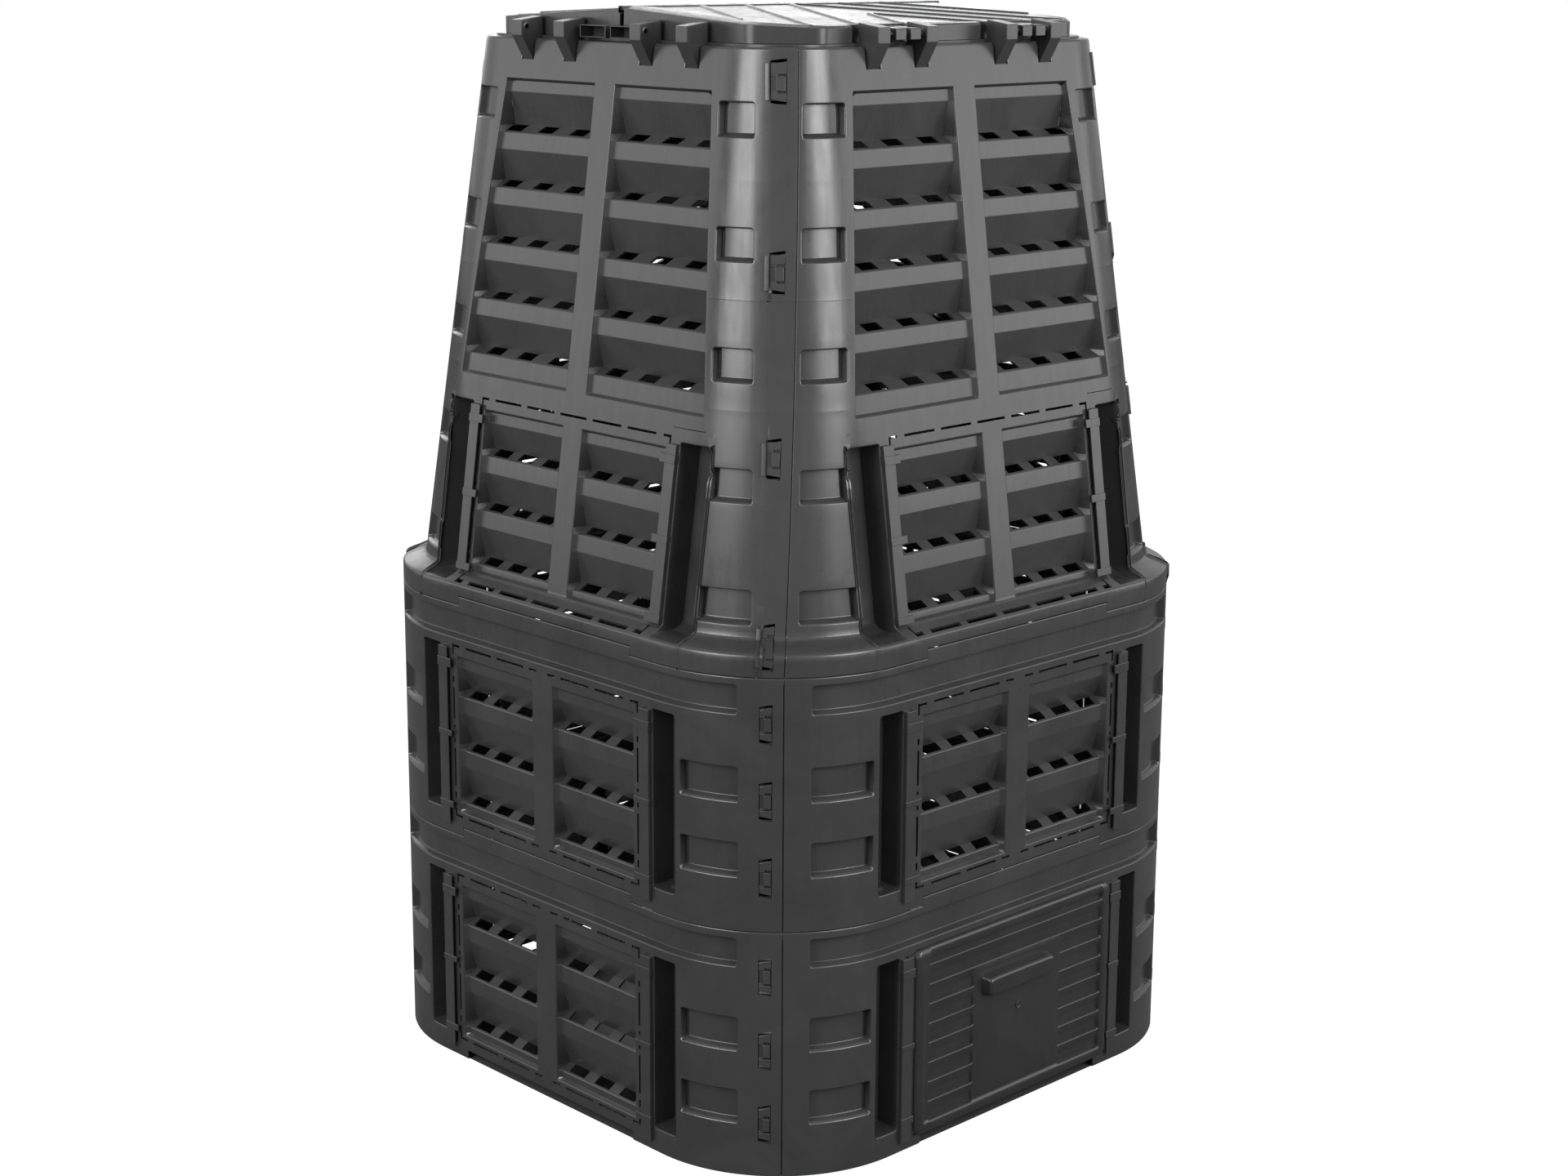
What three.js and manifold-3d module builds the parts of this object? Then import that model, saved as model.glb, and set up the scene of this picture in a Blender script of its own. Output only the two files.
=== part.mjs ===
// Compost bin with lid: three tiers of four moulded wall panels, a sliding hatch and two lid flaps.
// Millimetres, +Z up. The front with the hatch looks along -Y, and the base stands on z = 0.
import * as THREE from 'three';
import { mergeVertices } from 'three/addons/utils/BufferGeometryUtils.js';
import Module from 'manifold-3d';

const wasm = await Module();
wasm.setup();

// Overall sizes of the bin.
const WIDTH = 795;
const TIER_HEIGHT = 295.5;
const CORNER_RADIUS = 187;
const WALL = 3.4;
const GAP = 0.3;
const OVERRUN = 2;

// Tapered tier: the wall leans in above a vertical band and a shoulder.
const BAND_END = 25;
const SHOULDER_END = 37;
const SHOULDER_SETBACK = 24;
const TAPER_HEIGHT = 677;
const RIM_SETBACK = 112.3;
const TAPER_AXIS_SHIFT = 13.5;

// Seams and clips. Angles in degrees are measured from the panel's own normal at its right-hand end, and
// the clips' heights are shares of their tier's height.
const SEAM_ANGLE = 47.4;
const RIM_SEAM_ANGLE = 56.8;
const CORNER_ANGLES = [18, 33, 45, 57];
const FLANGE_ANGLE = 53.6;
const JOGGLE_ANGLE = 3;
const FLANGE_THICKNESS = 3;
const CLIP_TO_SEAM = 12.3;
const CLIP_WIDTH = 14.2;
const CLIP_HEIGHT = 45;
const CLIP_SLIT = 3.8;
const CLIP_SHARES = [0.2171, 0.5205, 0.8206];
const TAPER_CLIP_SHARES = [0.0458, 0.3456, 0.644, 0.9468];

// Louvred windows. Feet are heights above the tier's foot, and the ledges repeat upwards from the first one.
const MULLION_HALF = 19;
const WINDOW_TO_RAIL = 15;
const WINDOW_FOOT = 31;
const WINDOW_TO_BAND = 29.5;
const LEDGE_FIRST = 10;
const LEDGE_PITCH = 68;
const FRAME_WALL = 3;
const FRAME_DEPTH = 27;
const HEAD_BROW = 15;
const BROW = 20;
const BROW_DEPTH = 10.5;
const LEDGE_DEPTH = 13;
const LEDGE_RISE = 8.5;
const SHEET_WALL = 3;
const SHEET_DROP = 1;
const SLOT_FRONT = 3.3;
const SLOT_DEPTH = 8.2;
const SLOT_DROP = 6;
const SLOT_HEIGHT = 16.5;
const SLOT_WIDTH_SHARE = 0.83;

// Low and tall windows of the tapered tier.
const TAPER_WINDOW_FOOT = 38;
const TAPER_WINDOW_HEAD = 233.5;
const TAPER_LEDGE_FIRST = 8;
const TAPER_LEDGE_PITCH = 66;
const TALL_TO_LOW = 41.5;
const TALL_TO_RIM = 48.5;
const TALL_LEDGE_FIRST = 23;
const TALL_LEDGE_PITCH = 66.75;
const TALL_FOOT_FLARE = 9;
const TALL_HEAD_INSET = 16;
const TALL_EDGE_STEPS = 3;

// Band groove along the top of a straight tier, and the pockets at the corners. The pockets' heads are
// shares of their tier's height, and the tapered tier's pockets start at shifts from the straight corner.
const RECESS_DEPTH = 10;
const BAND_TO_HEAD = 9.7;
const BAND_HEIGHT = 27.3;
const LIP_DROP = 5.5;
const BAND_RIGHT_ANGLE = 31.3;
const BAND_LEFT_ANGLE = 31.9;
const POCKET_HEIGHT = 30.2;
const POCKET_HEAD_SHARES = [0.351, 0.648];
const POCKET_LIP_DROP = 8;
const POCKET_TO_CHANNEL = 9;
const POCKET_RIGHT_ANGLE = 31.7;
const POCKET_LEFT_ANGLE = 31.9;
const TAPER_POCKET_HEAD_SHARES = [0.1315, 0.3264, 0.52, 0.7134, 0.9114];
const TAPER_POCKET_SHIFTS = [27.5, 27.5, 13.5, 1.5, -14.5];
const TAPER_POCKET_HEIGHT = 23;
const POCKET_RIGHT_MARGIN = 30;
const POCKET_LEFT_MARGIN = 24;
const APEX_ANGLE = 45;

// Foot notch of every panel and the tongue of the panel below that fills it.
const NOTCH_TO_RAIL = 20;
const NOTCH_HEIGHT = 11;

// Guide rails and the deep channels beside them.
const RAIL_INSET = 31.5;
const RAIL_WIDTH = 17;
const RAIL_FOOT = 10.7;
const RAIL_TO_BAND = 18.5;
const RAIL_PROUD = 6.2;
const RAIL_LIP = 2.5;
const RAIL_STOP = 3;
const GROOVE_WIDTH = 8;
const TAPER_RAIL_SHIFT = -9;
const TAPER_RAIL_FOOT = 39;
const TAPER_RAIL_RISE = 6.5;
const CHANNEL_TO_RAIL = 3.5;
const CHANNEL_WIDTH = 32.5;
const CHANNEL_FOOT = 29.5;
const CHANNEL_TO_BAND = 17.5;
const CHANNEL_DEPTH = 30;
const TAPER_CHANNEL_SHIFT = -12.5;
const TAPER_CHANNEL_WIDTH = 43;
const TAPER_CHANNEL_FOOT = 20;
const TAPER_CHANNEL_RISE = 7.5;

// Lock pegs between the tiers and the bosses that take them.
const PEG_INSET = 11;
const PEG_DEPTH = 20;
const PEG_SIDE = 7.4;
const TAPER_PEG_CLEAR = 2.4;
const PEG_TAIL = 12;
const PEG_HEAD_WIDTH = 15;
const PEG_HEAD_DEPTH = 13;
const PEG_HEAD_HEIGHT = 8;
const PEG_HEAD_TOE = 3;
const BOSS_SIDE = 17;
const BOSS_HEIGHT = 7;
const BOSS_FRONT = 12;
const BOSS_BACK = 27;

// Hinge posts on the rim, in pairs, and the pins. The places are shares of the rim's straight half.
const POST_PLACE_SHARES = [0.3426, 0.7386];
const POST_WIDTH = 19;
const POST_PROUD = 19.3;
const POST_SETBACK = 12.7;
const POST_RISE = 21.5;
const POST_BACK_RISE = 25.7;
const POST_KNEE_RISE = 4;
const POST_DROP = 25;
const PIN_PROUD = 11.1;
const PIN_RISE = 13.8;
const PIN_RADIUS = 3;
const PIN_SEAT = 8;
const PIN_SIDES = 8;
const RIM_SHELF_THICKNESS = 4;
const SEAT_FRONT = 12;
const SEAT_BACK = 24;
const SEAT_HEIGHT = 3.4;

// Lid flaps.
const LID_SIDE_SETBACK = 18.2;
const LID_FRONT_SETBACK = 13.2;
const LID_CHAMFER = 57;
const LID_BEND_SHARE = 0.2;
const LID_EAVE = 19.7;
const LID_SLOPE = 3.7;
const LID_WALL = 3;
const LID_SPLIT = 3;
const SKIRT_TO_POST = 9;
const SKIRT_NOTCH_DEPTH = 6;
const KNUCKLE_TO_POST = 9.5;
const KNUCKLE_SPLIT = 7;
const KNUCKLE_BACK = 7.3;
const KNUCKLE_FRONT = 7.7;
const KNUCKLE_FOOT = 6.8;
const KNUCKLE_HEAD = 6;
const ARM_THICKNESS = 5;
const ARM_RISE = 2;
const ARM_OVERLAP = 4;
const GRIP_START = 4;
const GRIP_END = 50;
const GRIP_PROUD = 20;
const GRIP_HEIGHT = 14.3;
const GRIP_WALL = 2;

// Sliding hatch on the front panel of the bottom tier.
const HATCH_OPENING_FOOT = 30;
const HATCH_LAP = 15;
const HATCH_HEAD_LAP = 17;
const HATCH_SIDE_CLEAR = 1;
const HATCH_RIM_CLEAR = 4;
const HATCH_TO_BAND = 13.5;
const HATCH_CLEAR = 0.4;
const HATCH_PROUD = 8;
const HATCH_CHAMFER = 4;
const HATCH_FIELD_INSET = 15;
const HATCH_FIELD_MARGIN = 9;
const HATCH_FIELD_PROUD = 6.4;
const GROOVE_PITCH = 24.5;
const GROOVE_DROP = 26;
const GROOVE_FOOT_MARGIN = 20;
const GROOVE_FULL_ROWS = 2;
const GROOVE_HEIGHT = 11;
const GROOVE_INSET = 5;
const GROOVE_TO_HANDLE = 18;
const HANDLE_HALF = 60;
const HANDLE_REACH = 20;
const HANDLE_DROP = 60;
const HANDLE_HEIGHT = 27;
const HANDLE_DRAFT = 5;

// Plastic colours of the pieces.
const WALL_COLOUR = 0x343434;
const LID_COLOUR = 0x3a3a3a;
const PIN_COLOUR = 0x2a2a2a;
const ROUGHNESS = 0.5;

// Shares that keep points apart when solids are merged.
const MERGE_SHARE = 1e-7;
const CELL_ROUNDING = 20;

// Derived sizes of the walls.
const HALF = WIDTH / 2;
const CORNER_AXIS = HALF - CORNER_RADIUS;
const UPPER_FOOT = 2 * TIER_HEIGHT;
const RIM_HEIGHT = UPPER_FOOT + TAPER_HEIGHT;
const RIM_HALF = HALF - RIM_SETBACK;
const TAPER_AXIS = CORNER_AXIS - TAPER_AXIS_SHIFT;
const FLANGE_FRONT = WALL + GAP;
const FLANGE_BACK = FLANGE_FRONT + FLANGE_THICKNESS;
const BAND_HEAD = TIER_HEIGHT - BAND_TO_HEAD;
const BAND_FOOT = BAND_HEAD - BAND_HEIGHT;
const RAIL_INNER = CORNER_AXIS - RAIL_INSET;
const RAIL_OUTER = RAIL_INNER + RAIL_WIDTH;
const RAIL_HEAD = BAND_FOOT - RAIL_TO_BAND;
const GROOVE_OUTER = RAIL_INNER + GROOVE_WIDTH;
const CHANNEL_INNER = RAIL_OUTER + CHANNEL_TO_RAIL;
const CHANNEL_OUTER = CHANNEL_INNER + CHANNEL_WIDTH;
const CHANNEL_HEAD = BAND_FOOT - CHANNEL_TO_BAND;
const TAPER_CHANNEL_INNER = CHANNEL_INNER + TAPER_CHANNEL_SHIFT;
const TAPER_CHANNEL_OUTER = TAPER_CHANNEL_INNER + TAPER_CHANNEL_WIDTH;
const POCKET_START = CHANNEL_OUTER + POCKET_TO_CHANNEL;
const PEG_PLACE = CHANNEL_OUTER - PEG_INSET;
const NOTCH_HALF = RAIL_INNER - NOTCH_TO_RAIL;
const WINDOW_HALF = RAIL_INNER - WINDOW_TO_RAIL;
const WINDOW_HEAD = BAND_FOOT - WINDOW_TO_BAND;
const TALL_FOOT = TAPER_WINDOW_HEAD + TALL_TO_LOW;
const TALL_HEAD = TAPER_HEIGHT - TALL_TO_RIM;
const TALL_FOOT_HALF = CORNER_AXIS + TALL_FOOT_FLARE;
const TALL_HEAD_HALF = TAPER_AXIS - TALL_HEAD_INSET;

// Derived sizes of the posts, the pins and the lid.
const [POST_NEAR, POST_FAR] = POST_PLACE_SHARES.map((share) => share * TAPER_AXIS);
const POST_PLACES = [-POST_FAR, -POST_NEAR, POST_NEAR, POST_FAR];
const POST_SPACE = POST_FAR - POST_NEAR - POST_WIDTH;
const PIN_REACH = RIM_HALF + PIN_PROUD;
const PIN_HEIGHT = RIM_HEIGHT + PIN_RISE;
const KNUCKLE_WIDTH = (POST_SPACE - KNUCKLE_SPLIT) / 2 - KNUCKLE_TO_POST;
const LID_HALF = RIM_HALF - LID_SIDE_SETBACK;
const LID_REACH = RIM_HALF - LID_FRONT_SETBACK;
const LID_FOOT = RIM_HEIGHT + SEAT_HEIGHT + GAP;
const LID_RIDGE = LID_FOOT + LID_EAVE + LID_REACH * Math.tan(THREE.MathUtils.degToRad(LID_SLOPE));
const SKIRT_NOTCH_INNER = POST_NEAR - POST_WIDTH / 2 - SKIRT_TO_POST;
const SKIRT_NOTCH_OUTER = POST_FAR + POST_WIDTH / 2 + SKIRT_TO_POST;

// Derived sizes of the hatch.
const HATCH_HALF = RAIL_INNER - HATCH_RIM_CLEAR;
const HATCH_FLANGE_HALF = GROOVE_OUTER - HATCH_SIDE_CLEAR;
const HATCH_PLATE = RAIL_PROUD - RAIL_LIP - HATCH_CLEAR - GAP;
const HATCH_FOOT = RAIL_FOOT + RAIL_STOP + GAP;
const HATCH_HEAD = BAND_FOOT - HATCH_TO_BAND;
const HATCH_OPENING_HALF = HATCH_HALF - HATCH_LAP;
const HATCH_OPENING_HEAD = HATCH_HEAD - HATCH_HEAD_LAP;
const HATCH_FIELD_HALF = HATCH_HALF - HATCH_FIELD_INSET;
const GROOVE_HALF = HATCH_FIELD_HALF - GROOVE_INSET;
const GROOVE_FIRST = HATCH_HEAD - GROOVE_DROP;
const GROOVE_ROWS = 1 + Math.floor((GROOVE_FIRST - HATCH_FOOT - GROOVE_FOOT_MARGIN) / GROOVE_PITCH);
const GROOVE_CENTRE_HALF = HANDLE_HALF + GROOVE_TO_HANDLE;
const HANDLE_HEAD = HATCH_HEAD - HANDLE_DROP;
const HANDLE_FOOT = HANDLE_HEAD - HANDLE_HEIGHT;
const FRONT_REACH = HALF + HANDLE_REACH;
const BACK_REACH = HALF + RAIL_PROUD;

// Turns a closed geometry into a solid that can be joined and cut.
function solidOf(geometry) {
  geometry.deleteAttribute('normal');
  geometry.deleteAttribute('uv');
  const merged = mergeVertices(geometry, WIDTH * MERGE_SHARE);
  return new wasm.Manifold(new wasm.Mesh({
    numProp: 3,
    vertProperties: Float32Array.from(merged.attributes.position.array),
    triVerts: Uint32Array.from(merged.index.array),
  }));
}

// Block between two opposite corners.
function block(x0, x1, y0, y1, z0, z1) {
  const geometry = new THREE.BoxGeometry(x1 - x0, y1 - y0, z1 - z0);
  geometry.translate((x0 + x1) / 2, (y0 + y1) / 2, (z0 + z1) / 2);
  return solidOf(geometry);
}

// Outline drawn on the second and third axis, carried along the first axis.
function alongX(points, x0, x1) {
  const shape = new THREE.Shape(points.map(([y, z]) => new THREE.Vector2(y, z)));
  const geometry = new THREE.ExtrudeGeometry(shape, { depth: x1 - x0, bevelEnabled: false });
  geometry.applyMatrix4(new THREE.Matrix4().set(0, 0, 1, x0, 1, 0, 0, 0, 0, 1, 0, 0, 0, 0, 0, 1));
  return solidOf(geometry);
}

// Outline drawn on the first and third axis, carried along the second axis.
function alongY(points, y0, y1) {
  const shape = new THREE.Shape(points.map(([x, z]) => new THREE.Vector2(x, z)));
  const geometry = new THREE.ExtrudeGeometry(shape, { depth: y1 - y0, bevelEnabled: false });
  geometry.applyMatrix4(new THREE.Matrix4().set(1, 0, 0, 0, 0, 0, -1, y1, 0, 1, 0, 0, 0, 0, 0, 1));
  return solidOf(geometry);
}

// Outline drawn on the first and second axis, carried along the third axis.
function alongZ(points, z0, z1) {
  const shape = new THREE.Shape(points.map(([x, y]) => new THREE.Vector2(x, y)));
  const geometry = new THREE.ExtrudeGeometry(shape, { depth: z1 - z0, bevelEnabled: false });
  geometry.translate(0, 0, z0);
  return solidOf(geometry);
}

const radians = (angle) => THREE.MathUtils.degToRad(angle);
const mix = (a, b, share) => a + (b - a) * share;
const sorted = (a, b) => [Math.min(a, b), Math.max(a, b)];
const union = (solids) => solids.reduce((all, solid) => all.add(solid));

// Half width of the tapered tier at a height, and the height's share of the way up the taper.
const taperShare = (z) => Math.max(0, z - UPPER_FOOT - SHOULDER_END)
  / (RIM_HEIGHT - UPPER_FOOT - SHOULDER_END);
const shoulderShare = (z) => THREE.MathUtils.clamp(
  (z - UPPER_FOOT - BAND_END) / (SHOULDER_END - BAND_END), 0, 1);
const taperHalf = (z) => HALF - SHOULDER_SETBACK * shoulderShare(z)
  - (RIM_SETBACK - SHOULDER_SETBACK) * taperShare(z);
const taperAxis = (z) => mix(CORNER_AXIS, TAPER_AXIS, shoulderShare(z));
const taperRadius = (z) => taperHalf(z) - taperAxis(z);
const taperSeam = (z) => mix(SEAM_ANGLE, RIM_SEAM_ANGLE, (z - UPPER_FOOT) / (RIM_HEIGHT - UPPER_FOOT));

// Distance along the unrolled outer face of an angle on the rounded corner.
const unroll = (angle) => CORNER_AXIS + CORNER_RADIUS * radians(angle);

// A skin places flat panels on the bin: each end has stations, which are places on the unrolled face, and
// between two stations the wall is flat. A station gives its outer point and its normal at a height.
class Skin {
  constructor(angles, flatHalf, tapered) {
    this.tapered = tapered;
    const bends = angles.map((angle) => ({ along: unroll(angle), angle }));
    this.stations = [{ along: flatHalf, angle: 0 }, ...bends];
    this.levels = tapered ? [UPPER_FOOT + BAND_END, UPPER_FOOT + SHOULDER_END] : [];
  }

  // Point at a depth behind the outer face of a station, as a sideways and an outward distance.
  stationPoint(station, depth, z) {
    const half = this.tapered ? taperHalf(z) : HALF;
    if (station.angle === 0) return [station.along, half - depth];
    const axis = this.tapered ? taperAxis(z) : CORNER_AXIS;
    const angle = radians(station.angle);
    const radius = half - axis - depth;
    return [axis + radius * Math.sin(angle), axis + radius * Math.cos(angle)];
  }

  // Place on the bin of a point of the flat panel.
  place(along, depth, z) {
    const side = along < 0 ? -1 : 1;
    const { stations } = this;
    const reach = Math.abs(along);
    const half = this.tapered ? taperHalf(z) : HALF;
    if (reach <= stations[0].along) return [along, depth - half, z];
    let k = 0;
    while (k < stations.length - 2 && reach > stations[k + 1].along) k += 1;
    const share = (reach - stations[k].along) / (stations[k + 1].along - stations[k].along);
    const a = this.stationPoint(stations[k], depth, z);
    const b = this.stationPoint(stations[k + 1], depth, z);
    return [side * mix(a[0], b[0], share), -mix(a[1], b[1], share), z];
  }

  // Place on the flat panel of a sideways distance on the outer face.
  alongAt(sideways, z) {
    const side = sideways < 0 ? -1 : 1;
    const { stations } = this;
    const reach = Math.abs(sideways);
    if (reach <= stations[0].along) return sideways;
    let k = 0;
    while (k < stations.length - 2 && reach > this.stationPoint(stations[k + 1], 0, z)[0]) k += 1;
    const low = this.stationPoint(stations[k], 0, z)[0];
    const high = this.stationPoint(stations[k + 1], 0, z)[0];
    const share = (reach - low) / (high - low);
    return side * mix(stations[k].along, stations[k + 1].along, share);
  }
}

const straightSkin = new Skin(CORNER_ANGLES, CORNER_AXIS, false);
const taperSkin = new Skin(CORNER_ANGLES, TAPER_AXIS, true);

// Geometry from points and triangles.
function geometryOf(points, triangles) {
  const geometry = new THREE.BufferGeometry();
  geometry.setAttribute('position', new THREE.Float32BufferAttribute(points.flat(), 3));
  geometry.setIndex(triangles.flat());
  return geometry;
}

// Points and triangles of a solid.
function meshOf(solid) {
  const mesh = solid.getMesh();
  const points = [];
  for (let k = 0; k < mesh.numVert; k += 1) {
    points.push(Array.from(mesh.vertProperties.slice(k * mesh.numProp, k * mesh.numProp + 3)));
  }
  const triangles = [];
  for (let k = 0; k < mesh.numTri; k += 1) triangles.push(Array.from(mesh.triVerts.slice(3 * k, 3 * k + 3)));
  return [points, triangles];
}

// Bends a flat panel round the bin. The panel is cut into cells at the stations and levels, each cell's
// triangles are taken without the cut faces, and the cells meet again at their shared points.
function bend(solid, skin) {
  const far = 2 * RIM_HEIGHT;
  const alongs = skin.stations.map(({ along }) => along);
  const columns = [-far, ...alongs.map((along) => -along).reverse(), ...alongs, far];
  const rows = [-far, ...skin.levels, far];
  const points = [];
  const triangles = [];
  const known = new Map();
  const grain = WIDTH * MERGE_SHARE;
  const indexOf = (point) => {
    const key = point.map((number) => Math.round(number / grain / CELL_ROUNDING)).join(' ');
    if (!known.has(key)) {
      known.set(key, points.length);
      points.push(point);
    }
    return known.get(key);
  };
  for (let i = 0; i + 1 < columns.length; i += 1) {
    for (let j = 0; j + 1 < rows.length; j += 1) {
      const cell = solid.intersect(block(columns[i], columns[i + 1], -far, far, rows[j], rows[j + 1]));
      const [corners, faces] = meshOf(cell);
      const borders = [[0, columns[i]], [0, columns[i + 1]], [2, rows[j]], [2, rows[j + 1]]];
      const onBorder = (face) => borders.some(([axis, value]) => (
        face.every((corner) => Math.abs(corners[corner][axis] - value) < grain * CELL_ROUNDING)));
      for (const face of faces) {
        if (!onBorder(face)) {
          const indices = face.map((corner) => indexOf(corners[corner]));
          if (new Set(indices).size === 3) triangles.push(indices);
        }
      }
    }
  }
  stitch(points, triangles, grain * CELL_ROUNDING);
  return geometryOf(points.map(([along, depth, z]) => skin.place(along, depth, z)), triangles);
}

// Joins neighbouring cells: a point that lies on an open edge of the next cell becomes a corner of it too.
function stitch(points, triangles, tolerance) {
  const vectors = points.map((point) => new THREE.Vector3(...point));
  for (let found = true; found;) {
    found = false;
    const owners = new Map();
    triangles.forEach((triangle, index) => {
      triangle.forEach((from, k) => owners.set(`${from} ${triangle[(k + 1) % 3]}`, [index, k]));
    });
    const open = [...owners].filter(([key]) => !owners.has(key.split(' ').reverse().join(' ')));
    const loose = new Set(open.flatMap(([key]) => key.split(' ').map(Number)));
    const used = new Set();
    for (const [key, [index, k]] of open) {
      const [from, to] = key.split(' ').map(Number);
      const line = new THREE.Line3(vectors[from], vectors[to]);
      const near = new THREE.Vector3();
      const middle = [...loose].find((corner) => {
        if (corner === from || corner === to) return false;
        const share = line.closestPointToPointParameter(vectors[corner], false);
        if (share <= 0 || share >= 1) return false;
        return line.at(share, near).distanceTo(vectors[corner]) < tolerance;
      });
      if (middle !== undefined && !used.has(index)) {
        used.add(index);
        const last = triangles[index][(k + 2) % 3];
        triangles[index] = [from, middle, last];
        triangles.push([middle, to, last]);
        found = true;
      }
    }
  }
}

// Makes a named piece of dark moulded plastic.
function piece(name, geometry, colour) {
  const material = new THREE.MeshStandardMaterial({ color: colour, roughness: ROUGHNESS, metalness: 0 });
  const flat = geometry.toNonIndexed();
  flat.computeVertexNormals();
  const mesh = new THREE.Mesh(flat, material);
  mesh.name = name;
  return mesh;
}

// Heights of a window's ledges from the top down: as many as fit between its foot and its head.
function ledges(foot, head, first, pitch) {
  const fronts = [];
  for (let front = foot + first; front + LEDGE_RISE + HEAD_BROW < head; front += pitch) fronts.unshift(front);
  return fronts;
}

// Rows of clips or pockets of one height about the shares of a tier's height.
function rowsAbout(shares, foot, tierHeight, rowHeight) {
  return shares.map((share) => foot + share * tierHeight).map((middle) => (
    [middle - rowHeight / 2, middle + rowHeight / 2]));
}

// Outline of a louvre sheet, on depth and height: brows, sloping plates and ledges from the top down.
function louvreOutline(head, foot, fronts) {
  const front = [[BROW_DEPTH, head + FRAME_WALL / 2], [BROW_DEPTH, head - HEAD_BROW]];
  const back = [[BROW_DEPTH + SHEET_WALL, head + FRAME_WALL / 2]];
  fronts.forEach((ledge, k) => {
    const turns = [[BROW_DEPTH + LEDGE_DEPTH, ledge + LEDGE_RISE], [BROW_DEPTH, ledge]];
    front.push(...turns);
    back.push(...turns.map(([depth, z]) => [depth + SHEET_WALL, z - SHEET_DROP]));
    if (k < fronts.length - 1) front.push([BROW_DEPTH, ledge - BROW]);
  });
  front.push([BROW_DEPTH, foot - FRAME_WALL / 2]);
  back.push([BROW_DEPTH + SHEET_WALL, foot - FRAME_WALL / 2]);
  return [...front, ...back.reverse()];
}

// Louvred window between two edges, each a function of the height: what it adds and what it cuts.
function louvreWindow(inner, outer, head, foot, fronts, steps) {
  const edge = (grow) => {
    const low = foot - grow;
    const high = head + grow;
    const points = [];
    const sign = Math.sign(outer(foot) - inner(foot));
    for (let k = 0; k <= steps; k += 1) {
      const z = mix(low, high, k / steps);
      points.push([outer(Math.min(head, Math.max(foot, z))) + sign * grow, z]);
    }
    for (let k = 0; k <= 1; k += 1) {
      const z = mix(high, low, k);
      points.push([inner(z) - sign * grow, z]);
    }
    return points;
  };
  const frame = alongY(edge(FRAME_WALL), 0, FRAME_DEPTH);
  const cut = alongY(edge(0), -OVERRUN, FRAME_DEPTH + OVERRUN);
  const reach = [inner(foot), outer(foot), outer(head)];
  const sheetSpan = [Math.min(...reach) - FRAME_WALL, Math.max(...reach) + FRAME_WALL];
  let sheet = alongX(louvreOutline(head, foot, fronts), ...sheetSpan);
  sheet = sheet.intersect(alongY(edge(FRAME_WALL / 2), 0, FRAME_DEPTH + OVERRUN));
  for (const ledge of fronts) {
    const width = Math.abs(outer(ledge) - inner(ledge));
    const middle = (outer(ledge) + inner(ledge)) / 2;
    const half = SLOT_WIDTH_SHARE * width / 2;
    const depth = BROW_DEPTH + SLOT_FRONT;
    const low = ledge - SLOT_DROP;
    sheet = sheet.subtract(
      block(middle - half, middle + half, depth, depth + SLOT_DEPTH, low, low + SLOT_HEIGHT));
  }
  return { frame, cut, sheet };
}

// Groove or pocket in the outer face with a lower lip that slopes outward: its shell and its cut.
function recess(start, end, foot, head, lipDrop) {
  const [low, high] = [Math.min(start, end), Math.max(start, end)];
  const slope = lipDrop / RECESS_DEPTH;
  const outline = [
    [-OVERRUN, foot - lipDrop - slope * OVERRUN], [RECESS_DEPTH, foot],
    [RECESS_DEPTH, head], [-OVERRUN, head],
  ];
  const floor = RECESS_DEPTH + WALL;
  const shell = alongX([
    [WALL / 2, foot - lipDrop - WALL], [floor, foot - WALL], [floor, head + WALL], [WALL / 2, head + WALL],
  ], low - WALL, high + WALL);
  return { shell, cut: alongX(outline, low, high) };
}

// Deep channel beside a rail: its shell and its cut.
function channel(inner, outer, foot, head) {
  const [low, high] = [Math.min(inner, outer), Math.max(inner, outer)];
  return {
    shell: block(low - WALL, high + WALL, WALL / 2, CHANNEL_DEPTH + WALL, foot - WALL, head + WALL),
    cut: block(low, high, -OVERRUN, CHANNEL_DEPTH, foot, head),
  };
}

// Guide rail on one side of a face: a strip with a groove towards the middle, closed at the foot by a stop
// or open there.
function rail(side, shift, foot, head, stop) {
  const from = (reach) => side * (reach + shift);
  const bar = (a, b, ...rest) => block(Math.min(from(a), from(b)), Math.max(from(a), from(b)), ...rest);
  const strip = bar(RAIL_INNER, RAIL_OUTER, -RAIL_PROUD, WALL / 2, foot, head);
  return strip.subtract(bar(
    RAIL_INNER - OVERRUN, GROOVE_OUTER, -RAIL_PROUD + RAIL_LIP, 0, foot + stop, head + OVERRUN));
}

// Boss with an upright hole for a lock peg, beside a channel.
function boss(side, foot, head) {
  const middle = side * PEG_PLACE;
  return block(middle - BOSS_SIDE / 2, middle + BOSS_SIDE / 2, BOSS_FRONT, BOSS_BACK, foot, head);
}

function pegHole(side, foot, head, clearance) {
  const half = PEG_SIDE / 2 + clearance;
  const middle = side * PEG_PLACE;
  return block(
    middle - half, middle + half, PEG_DEPTH - half, PEG_DEPTH + half, foot - OVERRUN, head + OVERRUN);
}

// Right-hand end of a panel as angles: the clip window between two angles in front of the seam.
function clipAngles(seam, radius) {
  const end = seam - THREE.MathUtils.radToDeg(CLIP_TO_SEAM / radius);
  return [end - THREE.MathUtils.radToDeg(CLIP_WIDTH / radius), end];
}

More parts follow.
